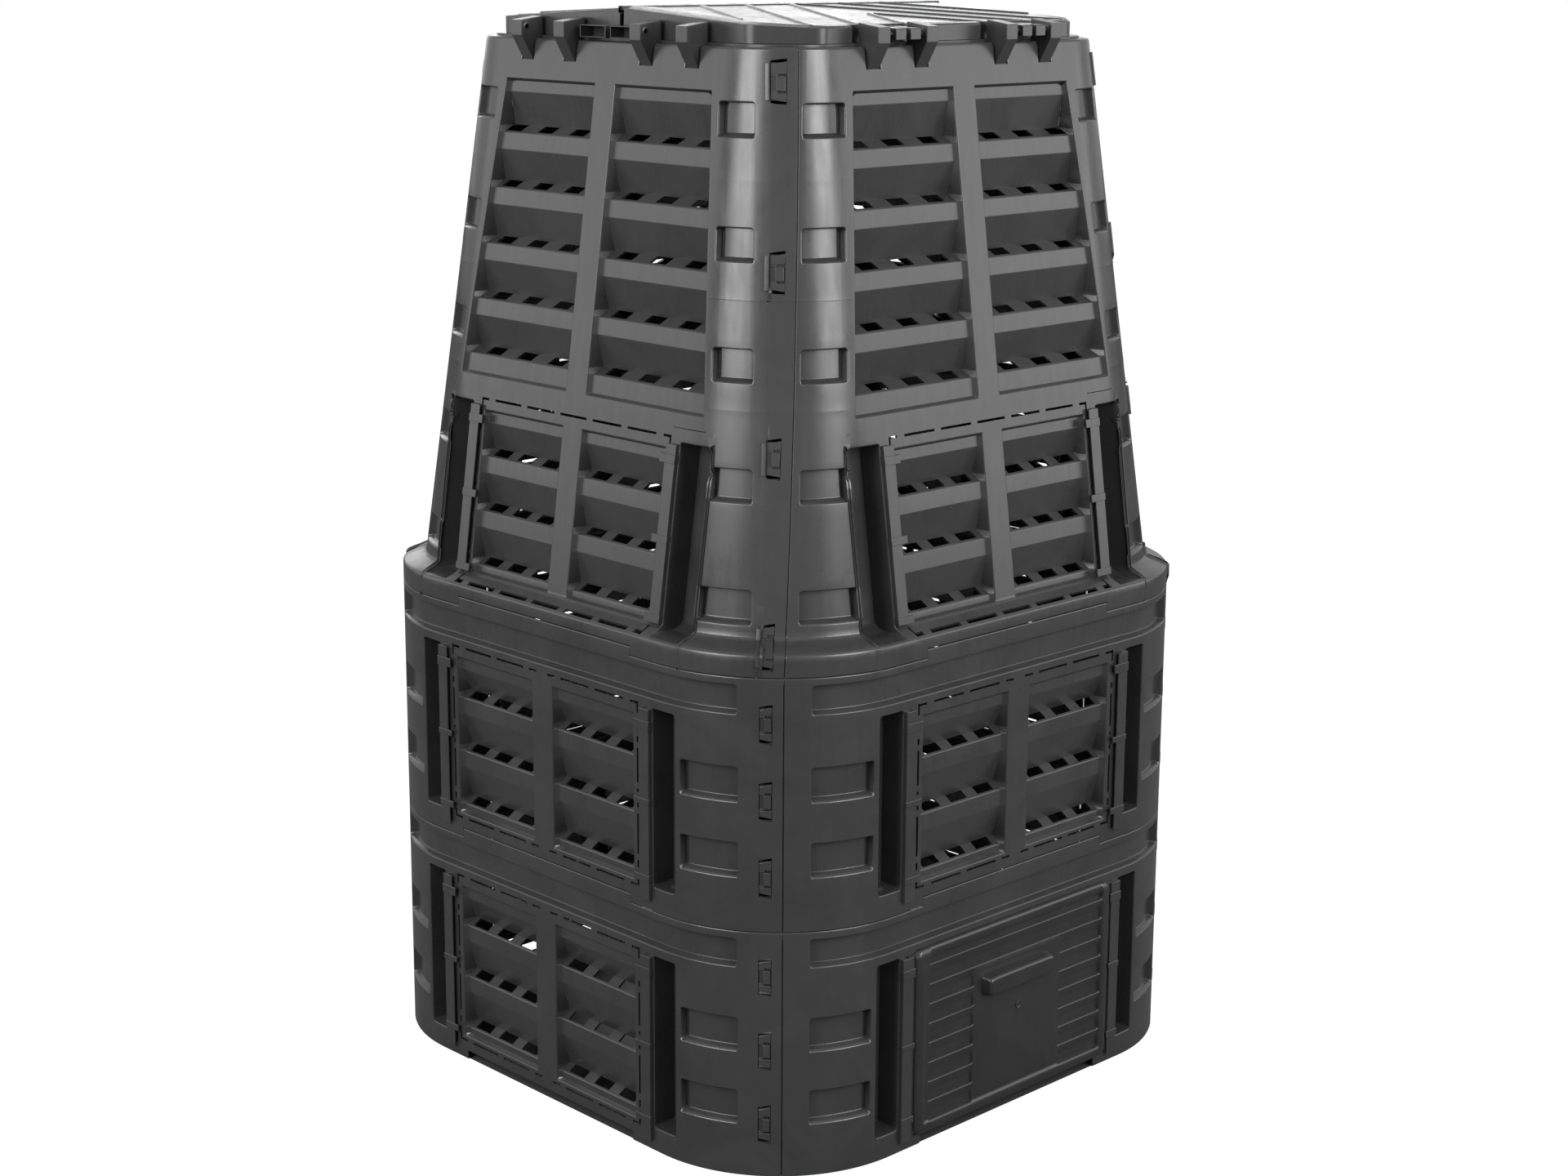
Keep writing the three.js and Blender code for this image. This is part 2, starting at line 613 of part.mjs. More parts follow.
// Clip windows at the right end, and hooks on the flange at the left end that fill the next panel's windows.
function clips(rows, seamAt, radiusAt) {
  const windows = [];
  const hooks = [];
  for (const [foot, head] of rows) {
    const middle = (foot + head) / 2;
    const [start, end] = clipAngles(seamAt(middle), radiusAt(middle));
    windows.push(block(unroll(start), unroll(end), -OVERRUN, WALL + OVERRUN / 2, foot, head));
    const inner = -unroll(2 * APEX_ANGLE - end) - 2 * GAP;
    const outer = -unroll(2 * APEX_ANGLE - start) + 2 * GAP;
    hooks.push(block(
      outer, inner, 2 * GAP, FLANGE_BACK - GAP, foot + CLIP_SLIT, head - CLIP_SLIT));
  }
  return { windows, hooks };
}

// Flat panel between its two seams, with the flange that lies behind the next panel.
function plate(foot, head, seamAt, flangeHead) {
  const right = (z) => unroll(seamAt(z)) - GAP;
  const left = (z) => -unroll(2 * APEX_ANGLE - seamAt(z)) + GAP;
  const joggle = (z) => -unroll(2 * APEX_ANGLE - seamAt(z) - JOGGLE_ANGLE);
  const end = -unroll(FLANGE_ANGLE);
  const skin = alongY(
    [[left(foot), foot], [right(foot), foot], [right(head), head], [left(head), head]], 0, WALL);
  const low = foot + WALL;
  const flange = alongY(
    [[end, low], [joggle(low), low], [joggle(flangeHead), flangeHead], [end, flangeHead]],
    FLANGE_FRONT, FLANGE_BACK);
  const step = alongY(
    [[left(low), low], [joggle(low), low], [joggle(flangeHead), flangeHead], [left(flangeHead), flangeHead]],
    WALL / 2, FLANGE_BACK);
  return union([skin, flange, step]);
}

const straightSeam = () => SEAM_ANGLE;
const straightRadius = () => CORNER_RADIUS;

// Cut for the notch in a panel's foot.
function footNotch(foot) {
  return block(-NOTCH_HALF, NOTCH_HALF, -OVERRUN, WALL + OVERRUN, foot - OVERRUN, foot + NOTCH_HEIGHT);
}

// Wall panel of a straight tier.
function straightPanel(foot, hatch) {
  const bottom = foot === 0 ? 0 : foot + GAP;
  const top = foot + TIER_HEIGHT;
  const tongueHead = top + NOTCH_HEIGHT - GAP;
  const adds = [
    plate(bottom, top, straightSeam, top - WALL),
    block(-NOTCH_HALF + GAP, NOTCH_HALF - GAP, 0, WALL, top - WALL, tongueHead),
  ];
  const cuts = [footNotch(bottom)];
  const extras = [];
  const band = recess(
    -unroll(BAND_LEFT_ANGLE), unroll(BAND_RIGHT_ANGLE), foot + BAND_FOOT, foot + BAND_HEAD, LIP_DROP);
  adds.push(band.shell);
  cuts.push(band.cut);
  for (const side of [-1, 1]) {
    const end = side * unroll(side < 0 ? POCKET_LEFT_ANGLE : POCKET_RIGHT_ANGLE);
    for (const share of POCKET_HEAD_SHARES) {
      const start = straightSkin.alongAt(side * POCKET_START, foot);
      const pocketHead = foot + share * TIER_HEIGHT;
      const pocket = recess(start, end, pocketHead - POCKET_HEIGHT, pocketHead, POCKET_LIP_DROP);
      adds.push(pocket.shell);
      cuts.push(pocket.cut);
    }
    const [near, far] = [CHANNEL_INNER, CHANNEL_OUTER]
      .map((reach) => straightSkin.alongAt(side * reach, foot));
    const slot = channel(near, far, foot + CHANNEL_FOOT, foot + CHANNEL_HEAD);
    adds.push(slot.shell, boss(side, bottom, foot + CHANNEL_FOOT - WALL / 2));
    adds.push(block(
      ...sorted(side * (PEG_PLACE - BOSS_SIDE / 2), side * (PEG_PLACE + BOSS_SIDE / 2)),
      WALL / 2, BOSS_BACK, top - BOSS_HEIGHT, top));
    cuts.push(slot.cut, pegHole(side, top - BOSS_HEIGHT, top, GAP));
    if (foot > 0) cuts.push(pegHole(side, foot, foot + CHANNEL_FOOT, GAP));
    extras.push(rail(side, 0, foot + RAIL_FOOT, foot + RAIL_HEAD, foot === 0 ? RAIL_STOP : -OVERRUN));
    if (!hatch) {
      const inner = () => side * MULLION_HALF;
      const outer = () => side * WINDOW_HALF;
      const [windowFoot, windowHead] = [foot + WINDOW_FOOT, foot + WINDOW_HEAD];
      const fronts = ledges(windowFoot, windowHead, LEDGE_FIRST, LEDGE_PITCH);
      const window = louvreWindow(inner, outer, windowHead, windowFoot, fronts, 1);
      adds.push(window.frame);
      cuts.push(window.cut);
      extras.push(window.sheet);
    }
  }
  if (hatch) {
    cuts.push(block(
      -HATCH_OPENING_HALF, HATCH_OPENING_HALF, -OVERRUN, WALL + OVERRUN,
      foot + HATCH_OPENING_FOOT, foot + HATCH_OPENING_HEAD));
  }
  const rows = rowsAbout(CLIP_SHARES, foot, TIER_HEIGHT, CLIP_HEIGHT);
  const snap = clips(rows, straightSeam, straightRadius);
  cuts.push(...snap.windows);
  extras.push(...snap.hooks);
  return bend(union([union(adds).subtract(union(cuts)), ...extras]), straightSkin);
}

// Upright shape on a tapered panel, moved to the flat panel: its depth follows the leaning face.
function flattened(solid) {
  const [points, triangles] = meshOf(solid);
  return solidOf(geometryOf(points.map(([x, y, z]) => [x, y + taperHalf(z), z]), triangles));
}

// Hinge post on the rim of the tapered tier, with the pin's hole on the side that looks at its pair.
function post(place, towards) {
  const front = -RIM_HALF - POST_PROUD;
  const back = -RIM_HALF + POST_SETBACK;
  const foot = RIM_HEIGHT - POST_DROP;
  const outline = [
    [front, RIM_HEIGHT + POST_RISE], [front, RIM_HEIGHT + POST_KNEE_RISE],
    [-taperHalf(foot) + WALL / 2, foot], [back, foot], [back, RIM_HEIGHT + POST_BACK_RISE],
  ];
  const solid = alongX(outline, place - POST_WIDTH / 2, place + POST_WIDTH / 2);
  const hole = new THREE.CylinderGeometry(PIN_RADIUS + GAP, PIN_RADIUS + GAP, PIN_SEAT + OVERRUN, PIN_SIDES);
  hole.rotateZ(Math.PI / 2);
  const face = place + towards * POST_WIDTH / 2;
  hole.translate(face - towards * (PIN_SEAT + GAP - OVERRUN) / 2, -PIN_REACH, PIN_HEIGHT);
  return flattened(solid.subtract(solidOf(hole)));
}

// Wall panel of the tapered tier.
function taperPanel() {
  const bottom = UPPER_FOOT + GAP;
  const adds = [
    plate(bottom, RIM_HEIGHT, taperSeam, RIM_HEIGHT - 2 * RIM_SHELF_THICKNESS),
  ];
  const rimRight = unroll(RIM_SEAM_ANGLE) - GAP;
  const rimLeft = -unroll(2 * APEX_ANGLE - RIM_SEAM_ANGLE) + GAP;
  const shelf = RIM_HEIGHT - RIM_SHELF_THICKNESS;
  adds.push(alongX([
    [WALL / 2, shelf], [SEAT_BACK, shelf], [SEAT_BACK, RIM_HEIGHT + SEAT_HEIGHT],
    [SEAT_FRONT, RIM_HEIGHT + SEAT_HEIGHT], [SEAT_FRONT, RIM_HEIGHT], [WALL / 2, RIM_HEIGHT],
  ], rimLeft, rimRight));
  const cuts = [footNotch(bottom)];
  const extras = [];
  for (const side of [-1, 1]) {
    TAPER_POCKET_HEAD_SHARES.forEach((share, k) => {
      const head = UPPER_FOOT + share * TAPER_HEIGHT;
      const middle = head - TAPER_POCKET_HEIGHT / 2;
      const margin = side < 0 ? POCKET_LEFT_MARGIN : POCKET_RIGHT_MARGIN;
      const angle = APEX_ANGLE - THREE.MathUtils.radToDeg(margin / taperRadius(middle));
      const start = taperSkin.alongAt(side * (CORNER_AXIS + TAPER_POCKET_SHIFTS[k]), middle);
      const pocket = recess(start, side * unroll(angle), head - TAPER_POCKET_HEIGHT, head, POCKET_LIP_DROP);
      adds.push(pocket.shell);
      cuts.push(pocket.cut);
    });
    const level = UPPER_FOOT + SHOULDER_END;
    const [near, far] = [TAPER_CHANNEL_INNER, TAPER_CHANNEL_OUTER]
      .map((reach) => taperSkin.alongAt(side * reach, level));
    const [lowFoot, lowHead, tallFoot, tallHead] = [
      TAPER_WINDOW_FOOT, TAPER_WINDOW_HEAD, TALL_FOOT, TALL_HEAD].map((rise) => UPPER_FOOT + rise);
    const slot = channel(near, far, UPPER_FOOT + TAPER_CHANNEL_FOOT, lowHead + TAPER_CHANNEL_RISE);
    adds.push(slot.shell, boss(side, bottom, UPPER_FOOT + TAPER_CHANNEL_FOOT - WALL / 2));
    cuts.push(slot.cut, pegHole(side, UPPER_FOOT, UPPER_FOOT + TAPER_CHANNEL_FOOT, TAPER_PEG_CLEAR));
    extras.push(rail(
      side, TAPER_RAIL_SHIFT, UPPER_FOOT + TAPER_RAIL_FOOT, lowHead + TAPER_RAIL_RISE, -OVERRUN));
    const inner = () => side * MULLION_HALF;
    const outer = () => side * WINDOW_HALF;
    const lowFronts = ledges(lowFoot, lowHead, TAPER_LEDGE_FIRST, TAPER_LEDGE_PITCH);
    const low = louvreWindow(inner, outer, lowHead, lowFoot, lowFronts, 1);
    const lean = (z) => taperSkin.alongAt(
      side * mix(TALL_FOOT_HALF, TALL_HEAD_HALF, (z - tallFoot) / (tallHead - tallFoot)), z);
    const tallFronts = ledges(tallFoot, tallHead, TALL_LEDGE_FIRST, TALL_LEDGE_PITCH);
    const tall = louvreWindow(inner, lean, tallHead, tallFoot, tallFronts, TALL_EDGE_STEPS);
    for (const window of [low, tall]) {
      adds.push(window.frame);
      cuts.push(window.cut);
      extras.push(window.sheet);
    }
  }
  const rows = rowsAbout(TAPER_CLIP_SHARES, UPPER_FOOT, TAPER_HEIGHT, CLIP_HEIGHT);
  const snap = clips(rows, taperSeam, taperRadius);
  cuts.push(...snap.windows);
  extras.push(...snap.hooks);
  POST_PLACES.forEach((place, k) => extras.push(post(place, k % 2 === 0 ? 1 : -1)));
  return bend(union([union(adds).subtract(union(cuts)), ...extras]), taperSkin);
}

// Lock peg: a square shank with a wedge head that lies on the channel's floor.
function peg(side, joint, floor) {
  const middle = side * PEG_PLACE;
  const half = PEG_SIDE / 2;
  const seat = joint + floor + GAP;
  const shank = block(
    middle - half, middle + half, PEG_DEPTH - half, PEG_DEPTH + half, joint - PEG_TAIL, seat + GAP);
  const front = PEG_DEPTH - PEG_HEAD_DEPTH / 2;
  const back = PEG_DEPTH + PEG_HEAD_DEPTH / 2;
  const head = alongX(
    [[front, seat], [back, seat], [back, seat + PEG_HEAD_HEIGHT], [front, seat + PEG_HEAD_TOE]],
    middle - PEG_HEAD_WIDTH / 2, middle + PEG_HEAD_WIDTH / 2);
  return bend(shank.add(head), straightSkin);
}

// Height of the roof's outer face at a distance from the ridge.
const roofAt = (reach) => LID_RIDGE - reach * Math.tan(radians(LID_SLOPE));

// Outline of a flap seen from above, drawn in by a wall.
function flapOutline(inset) {
  const side = LID_HALF - inset;
  const front = LID_REACH - inset;
  const bend0 = LID_CHAMFER * LID_BEND_SHARE;
  const half = [
    [front - LID_CHAMFER - bend0, 0], [front - LID_CHAMFER, bend0 / 2], [front - bend0 / 2, LID_CHAMFER],
    [front, LID_CHAMFER + bend0],
  ];
  const right = half.map(([, drop], k) => {
    const along = side - [LID_CHAMFER + bend0, LID_CHAMFER, bend0 / 2, 0][k];
    return [along, -front + drop];
  });
  const split = -LID_SPLIT / 2 - inset;
  const left = right.map(([x, y]) => [-x, y]).reverse();
  return [...right, [side, split], [-side, split], ...left];
}

// Lid flap over the front half: a shallow roof with a skirt, knuckles and finger grips.
function flap() {
  const roof = (lower) => alongX([
    [-LID_REACH - OVERRUN, LID_FOOT - lower], [-LID_REACH - OVERRUN, roofAt(LID_REACH + OVERRUN) - lower],
    [0, LID_RIDGE - lower], [0, LID_FOOT - lower],
  ], -LID_HALF - OVERRUN, LID_HALF + OVERRUN);
  const top = LID_RIDGE + OVERRUN;
  const shell = alongZ(flapOutline(0), LID_FOOT, top).intersect(roof(0));
  const hollow = alongZ(flapOutline(LID_WALL), LID_FOOT - LID_WALL, top).intersect(roof(LID_WALL));
  let solid = shell.subtract(hollow);
  for (const side of [-1, 1]) {
    const span = (a, b) => sorted(side * a, side * b);
    const edge = -LID_REACH + SKIRT_NOTCH_DEPTH;
    solid = solid.subtract(block(
      ...span(SKIRT_NOTCH_INNER, SKIRT_NOTCH_OUTER), -LID_REACH - OVERRUN, edge, LID_FOOT - OVERRUN, top));
    const middle = side * (POST_NEAR + POST_FAR) / 2;
    for (const turn of [-1, 1]) {
      const start = turn * KNUCKLE_SPLIT / 2;
      const [x0, x1] = sorted(middle + start, middle + start + turn * KNUCKLE_WIDTH);
      const head = PIN_HEIGHT + KNUCKLE_HEAD;
      const knuckle = block(
        x0, x1, -PIN_REACH - KNUCKLE_FRONT, -PIN_REACH + KNUCKLE_BACK, PIN_HEIGHT - KNUCKLE_FOOT, head);
      const arm = block(x0, x1, -PIN_REACH, edge + ARM_OVERLAP, head - ARM_THICKNESS, head + ARM_RISE);
      const hole = new THREE.CylinderGeometry(
        PIN_RADIUS + GAP, PIN_RADIUS + GAP, KNUCKLE_WIDTH + 2 * OVERRUN, PIN_SIDES);
      hole.rotateZ(Math.PI / 2);
      hole.translate((x0 + x1) / 2, -PIN_REACH, PIN_HEIGHT);
      solid = solid.add(knuckle.add(arm)).subtract(solidOf(hole));
    }
    const gripEnd = LID_HALF + GRIP_PROUD;
    const gripHead = LID_FOOT + GRIP_HEIGHT;
    const grip = block(...span(LID_HALF - LID_WALL, gripEnd), -GRIP_END, -GRIP_START, LID_FOOT, gripHead);
    const hold = block(
      ...span(LID_HALF + GAP, gripEnd + OVERRUN), -GRIP_END + GRIP_WALL, -GRIP_START - GRIP_WALL,
      LID_FOOT + GRIP_WALL, gripHead - GRIP_WALL);
    solid = solid.add(grip.subtract(hold));
  }
  return geometryOf(...meshOf(solid));
}

// Hinge pin, carried by the two posts of a pair.
function hingePin(side) {
  const span = POST_SPACE + 2 * PIN_SEAT;
  const pin = new THREE.CylinderGeometry(PIN_RADIUS, PIN_RADIUS, span, PIN_SIDES);
  pin.rotateZ(Math.PI / 2);
  pin.translate(side * (POST_NEAR + POST_FAR) / 2, -PIN_REACH, PIN_HEIGHT);
  return geometryOf(...meshOf(solidOf(pin)));
}

// Hatch door: a flanged plate with a thick rim, stepped grooves and a handle.
function hatchDoor() {
  const back = -HATCH_CLEAR;
  const flange = block(
    -HATCH_FLANGE_HALF, HATCH_FLANGE_HALF, back - HATCH_PLATE, back, HATCH_FOOT, HATCH_HEAD);
  const bevel = -HATCH_PROUD + HATCH_CHAMFER;
  const inner = HATCH_HALF - HATCH_CHAMFER;
  const across = alongZ(
    [[-HATCH_HALF, back], [-HATCH_HALF, bevel], [-inner, -HATCH_PROUD], [inner, -HATCH_PROUD],
      [HATCH_HALF, bevel], [HATCH_HALF, back]], HATCH_FOOT, HATCH_HEAD);
  const upright = alongX(
    [[back, HATCH_FOOT], [bevel, HATCH_FOOT], [-HATCH_PROUD, HATCH_FOOT + HATCH_CHAMFER],
      [-HATCH_PROUD, HATCH_HEAD - HATCH_CHAMFER], [bevel, HATCH_HEAD], [back, HATCH_HEAD]],
    -HATCH_HALF, HATCH_HALF);
  let door = across.intersect(upright).subtract(block(
    -HATCH_FIELD_HALF, HATCH_FIELD_HALF, -HATCH_PROUD - OVERRUN, -HATCH_FIELD_PROUD,
    HATCH_FOOT + HATCH_FIELD_MARGIN, HATCH_HEAD - HATCH_FIELD_MARGIN));
  door = door.add(flange);
  for (let row = 0; row < GROOVE_ROWS; row += 1) {
    const low = GROOVE_FIRST - row * GROOVE_PITCH;
    const wedge = [
      [-HATCH_FIELD_PROUD - OVERRUN, low], [back - HATCH_PLATE, low],
      [-HATCH_FIELD_PROUD, low + GROOVE_HEIGHT], [-HATCH_FIELD_PROUD - OVERRUN, low + GROOVE_HEIGHT],
    ];
    const spans = row < GROOVE_FULL_ROWS
      ? [[-GROOVE_HALF, GROOVE_HALF]]
      : [[-GROOVE_HALF, -GROOVE_CENTRE_HALF], [GROOVE_CENTRE_HALF, GROOVE_HALF]];
    for (const span of spans) door = door.subtract(alongX(wedge, ...span));
  }
  const root = -HATCH_PLATE - GAP;
  const side = alongX(
    [[root, HANDLE_FOOT], [-HANDLE_REACH, HANDLE_FOOT + HANDLE_DRAFT],
      [-HANDLE_REACH, HANDLE_HEAD - HANDLE_DRAFT], [root, HANDLE_HEAD]], -HANDLE_HALF, HANDLE_HALF);
  const plan = alongZ(
    [[-HANDLE_HALF, root], [-HANDLE_HALF + HANDLE_DRAFT, -HANDLE_REACH],
      [HANDLE_HALF - HANDLE_DRAFT, -HANDLE_REACH], [HANDLE_HALF, root]], HANDLE_FOOT, HANDLE_HEAD);
  door = door.add(side.intersect(plan));
  return geometryOf(...meshOf(door.translate([0, -HALF, 0])));
}

const bin = new THREE.Group();
bin.name = 'compost_bin';
const body = new THREE.Group();
body.position.y = (FRONT_REACH - BACK_REACH) / 2;
bin.add(body);

// Turns a piece from the front to another side of the bin and adds it.
function addOnSide(mesh, turn) {
  mesh.rotation.z = turn;
  body.add(mesh);
}

const SIDES = { front: 0, left: -Math.PI / 2, back: Math.PI, right: Math.PI / 2 };

const hatchWall = straightPanel(0, true);
const lowerWall = straightPanel(0, false);
const middleWall = straightPanel(TIER_HEIGHT, false);
const upperWall = taperPanel();
for (const [side, turn] of Object.entries(SIDES)) {
  addOnSide(piece(`lower_wall_${side}`, side === 'front' ? hatchWall : lowerWall, WALL_COLOUR), turn);
  addOnSide(piece(`middle_wall_${side}`, middleWall, WALL_COLOUR), turn);
  addOnSide(piece(`upper_wall_${side}`, upperWall, WALL_COLOUR), turn);
  for (const [end, sign] of Object.entries({ left: -1, right: 1 })) {
    const middlePeg = peg(sign, TIER_HEIGHT, CHANNEL_FOOT);
    const upperPeg = peg(sign, UPPER_FOOT, TAPER_CHANNEL_FOOT);
    addOnSide(piece(`lock_peg_middle_${side}_${end}`, middlePeg, PIN_COLOUR), turn);
    addOnSide(piece(`lock_peg_upper_${side}_${end}`, upperPeg, PIN_COLOUR), turn);
  }
}
for (const side of ['front', 'back']) {
  addOnSide(piece(`lid_flap_${side}`, flap(), LID_COLOUR), SIDES[side]);
  for (const [end, sign] of Object.entries({ left: -1, right: 1 })) {
    addOnSide(piece(`hinge_pin_${side}_${end}`, hingePin(sign), PIN_COLOUR), SIDES[side]);
  }
}
addOnSide(piece('hatch_door', hatchDoor(), WALL_COLOUR), SIDES.front);

export default bin;
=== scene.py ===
import logging
import math
from collections.abc import Sequence
from dataclasses import dataclass, field
from enum import Enum

import bpy
import numpy as np
from mathutils import Matrix, Vector


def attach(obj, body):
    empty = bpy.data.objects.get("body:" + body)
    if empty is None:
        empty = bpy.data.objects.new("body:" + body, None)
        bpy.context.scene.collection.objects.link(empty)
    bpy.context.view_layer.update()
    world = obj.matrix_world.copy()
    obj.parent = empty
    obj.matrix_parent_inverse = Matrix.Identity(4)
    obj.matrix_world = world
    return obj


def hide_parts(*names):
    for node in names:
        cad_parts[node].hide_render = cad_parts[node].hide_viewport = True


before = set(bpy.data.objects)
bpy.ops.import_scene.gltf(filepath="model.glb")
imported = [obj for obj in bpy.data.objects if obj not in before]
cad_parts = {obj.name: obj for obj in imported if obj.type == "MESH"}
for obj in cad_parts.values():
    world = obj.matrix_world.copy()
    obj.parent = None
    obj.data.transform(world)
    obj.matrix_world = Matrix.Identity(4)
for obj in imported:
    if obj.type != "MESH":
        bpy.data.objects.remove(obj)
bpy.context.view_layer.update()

LOG = logging.getLogger("compost_bin")
MM = 0.001
ENDS = (-1, 1)  # the left and the right end of a panel, seen from outside

Array = np.ndarray
Spans = Sequence[tuple[float, float]]


@dataclass(frozen=True)
class BinSizes:
    """Sizes in millimetres that the walls, the hatch and the lid share."""

    half: float = 397.5
    tier: float = 295.5
    radius: float = 187.0
    shift_y: float = 6.9
    wall: float = 2.8
    gap: float = 0.3
    seam: float = 47.4
    rim_seam: float = 56.8
    flange_end: float = 53.6
    band_end: float = 23.0
    shoulder_end: float = 39.0
    shoulder_setback: float = 24.0
    taper_start: float = 37.0
    rim: float = 1268.0
    rim_half: float = 285.2
    rim_axis: float = 197.0
    pin_reach: float = 296.3
    pin_height: float = 1281.8
    hinge_middle: float = 106.5

    @property
    def axis(self) -> float:
        """Half length of the straight part of a side."""
        return self.half - self.radius

    @property
    def upper_foot(self) -> float:
        """Height of the tapered tier's foot."""
        return 2 * self.tier

    def rise_share(self, z: Array) -> Array:
        """Share of the way up the tapered tier."""
        return (z - self.upper_foot) / (self.rim - self.upper_foot)


SIZES = BinSizes()


class Labelled(Enum):
    """A choice whose name stands in piece names."""

    @property
    def label(self) -> str:
        """The choice's word in piece names."""
        return self.name.lower()


class Side(Labelled):
    """The four sides of the bin, with the turn that carries a front piece there, in degrees."""

    FRONT = 0
    LEFT = -90
    BACK = 180
    RIGHT = 90


class Tier(Labelled):
    """The three tiers of wall panels, from the ground up."""

    LOWER = 0
    MIDDLE = 1
    UPPER = 2

    @property
    def foot(self) -> float:
        """Height of the tier's foot."""
        return self.value * SIZES.tier


def linear(code: str) -> tuple[float, ...]:
    """Turns an sRGB hex colour to linear values.

    Args:
        code: six hex digits, such as "3a3a3c".

    Returns:
        Red, green, blue and alpha as linear values.
    """
    values = np.array([int(code[k:k + 2], 16) for k in (0, 2, 4)]) / 255
    curve = np.where(values <= 0.04045, values / 12.92, ((values + 0.055) / 1.055) ** 2.4)
    return *curve.tolist(), 1.0


def empty_tree(owner: bpy.types.Material | bpy.types.World) -> bpy.types.NodeTree:
    """Turns on the nodes of a material or a world and clears them.

    Args:
        owner: the material or the world.

    Returns:
        The empty node tree.
    """
    owner.use_nodes = True
    owner.node_tree.nodes.clear()
    return owner.node_tree


def add_node(tree: bpy.types.NodeTree, kind: str, settings: dict | None = None,
             links: dict | None = None) -> bpy.types.Node:
    """Adds a node with its settings and links.

    Args:
        tree: the node tree.
        kind: the node's type name after ShaderNode.
        settings: attributes, or input values by the socket's name or number.
        links: output sockets by the name or number of the input that they feed.

    Returns:
        The new node.
    """
    node = tree.nodes.new("ShaderNode" + kind)
    for name, value in (settings or {}).items():
        if isinstance(name, int) or name in node.inputs:
            node.inputs[name].default_value = value
        else:
            setattr(node, name, value)
    for name, socket in (links or {}).items():
        tree.links.new(socket, node.inputs[name])
    return node


@dataclass(frozen=True)
class MouldedPlastic:
    """Injection moulded polypropylene: satin, with a fine spark-eroded grain and faint flow clouds.

    The grain is about 1 mm across, drawn at 1.6 mm so that it shows. The clouds are 60 to 150 mm long and
    change the gloss more than the colour. Upright flow streaks 9 mm wide vary the gloss, and the sinking of
    the cooling wall leaves waves 45 mm long and 0.15 mm high that break up long highlights. The IOR is 1.49.
    """

    name: str
    colour: str
    pale: str
    roughness: float = 0.28
    grain_mm: float = 1.6
    cloud_mm: float = 110.0
    streak_mm: float = 9.0
    wave_mm: float = 45.0
    grain_height_mm: float = 0.02
    wave_height_mm: float = 0.15

    def build(self) -> bpy.types.Material:
        """Builds the material's nodes on Object coordinates.

        Returns:
            The finished material.
        """
        material = bpy.data.materials.new(self.name)
        tree = empty_tree(material)
        place = add_node(tree, "TexCoord").outputs["Object"]
        upright = add_node(tree, "Mapping", {"Scale": (1.0, 1.0, 0.12)}, {"Vector": place}).outputs["Vector"]
        patterns = (
            (self.cloud_mm, place, {"Detail": 4.0, "Roughness": 0.6, "Distortion": 1.2}),
            (self.grain_mm, place, {"Detail": 2.0}),
            (self.streak_mm, upright, {"Detail": 3.0}),
            (self.wave_mm, place, {"Detail": 1.0}))
        cloud, grain, streak, wave = (
            add_node(tree, "TexNoise", {"Scale": 1 / (size * MM), **detail}, {"Vector": at}).outputs["Fac"]
            for size, at, detail in patterns)
        shade = add_node(tree, "MapRange", {"From Min": 0.3, "From Max": 0.75}, {"Value": cloud})
        tint = add_node(tree, "Mix", {"data_type": "RGBA", 6: linear(self.colour), 7: linear(self.pale)},
                        {"Factor": shade.outputs["Result"]})
        flow = add_node(tree, "Mix", {"data_type": "FLOAT", "Factor": 0.45}, {"A": cloud, "B": streak})
        gloss = add_node(
            tree, "MapRange", {"From Min": 0.35, "From Max": 0.68, "To Min": self.roughness - 0.05,
                               "To Max": self.roughness + 0.08}, {"Value": flow.outputs["Result"]})
        sunk = add_node(tree, "Bump", {"Strength": 1.0, "Distance": self.wave_height_mm * MM},
                        {"Height": wave})
        bump = add_node(tree, "Bump", {"Strength": 0.35, "Distance": self.grain_height_mm * MM},
                        {"Height": grain, "Normal": sunk.outputs["Normal"]})
        shader = add_node(
            tree, "BsdfPrincipled", {"IOR": 1.49, "Metallic": 0.0},
            {"Base Color": tint.outputs[2], "Roughness": gloss.outputs["Result"],
             "Normal": bump.outputs["Normal"]})
        add_node(tree, "OutputMaterial", links={"Surface": shader.outputs["BSDF"]})
        return material


@dataclass(frozen=True)
class Finish:
    """A plastic that has been built, with the name of a slot kept beside it."""

    material: bpy.types.Material
    slot: str


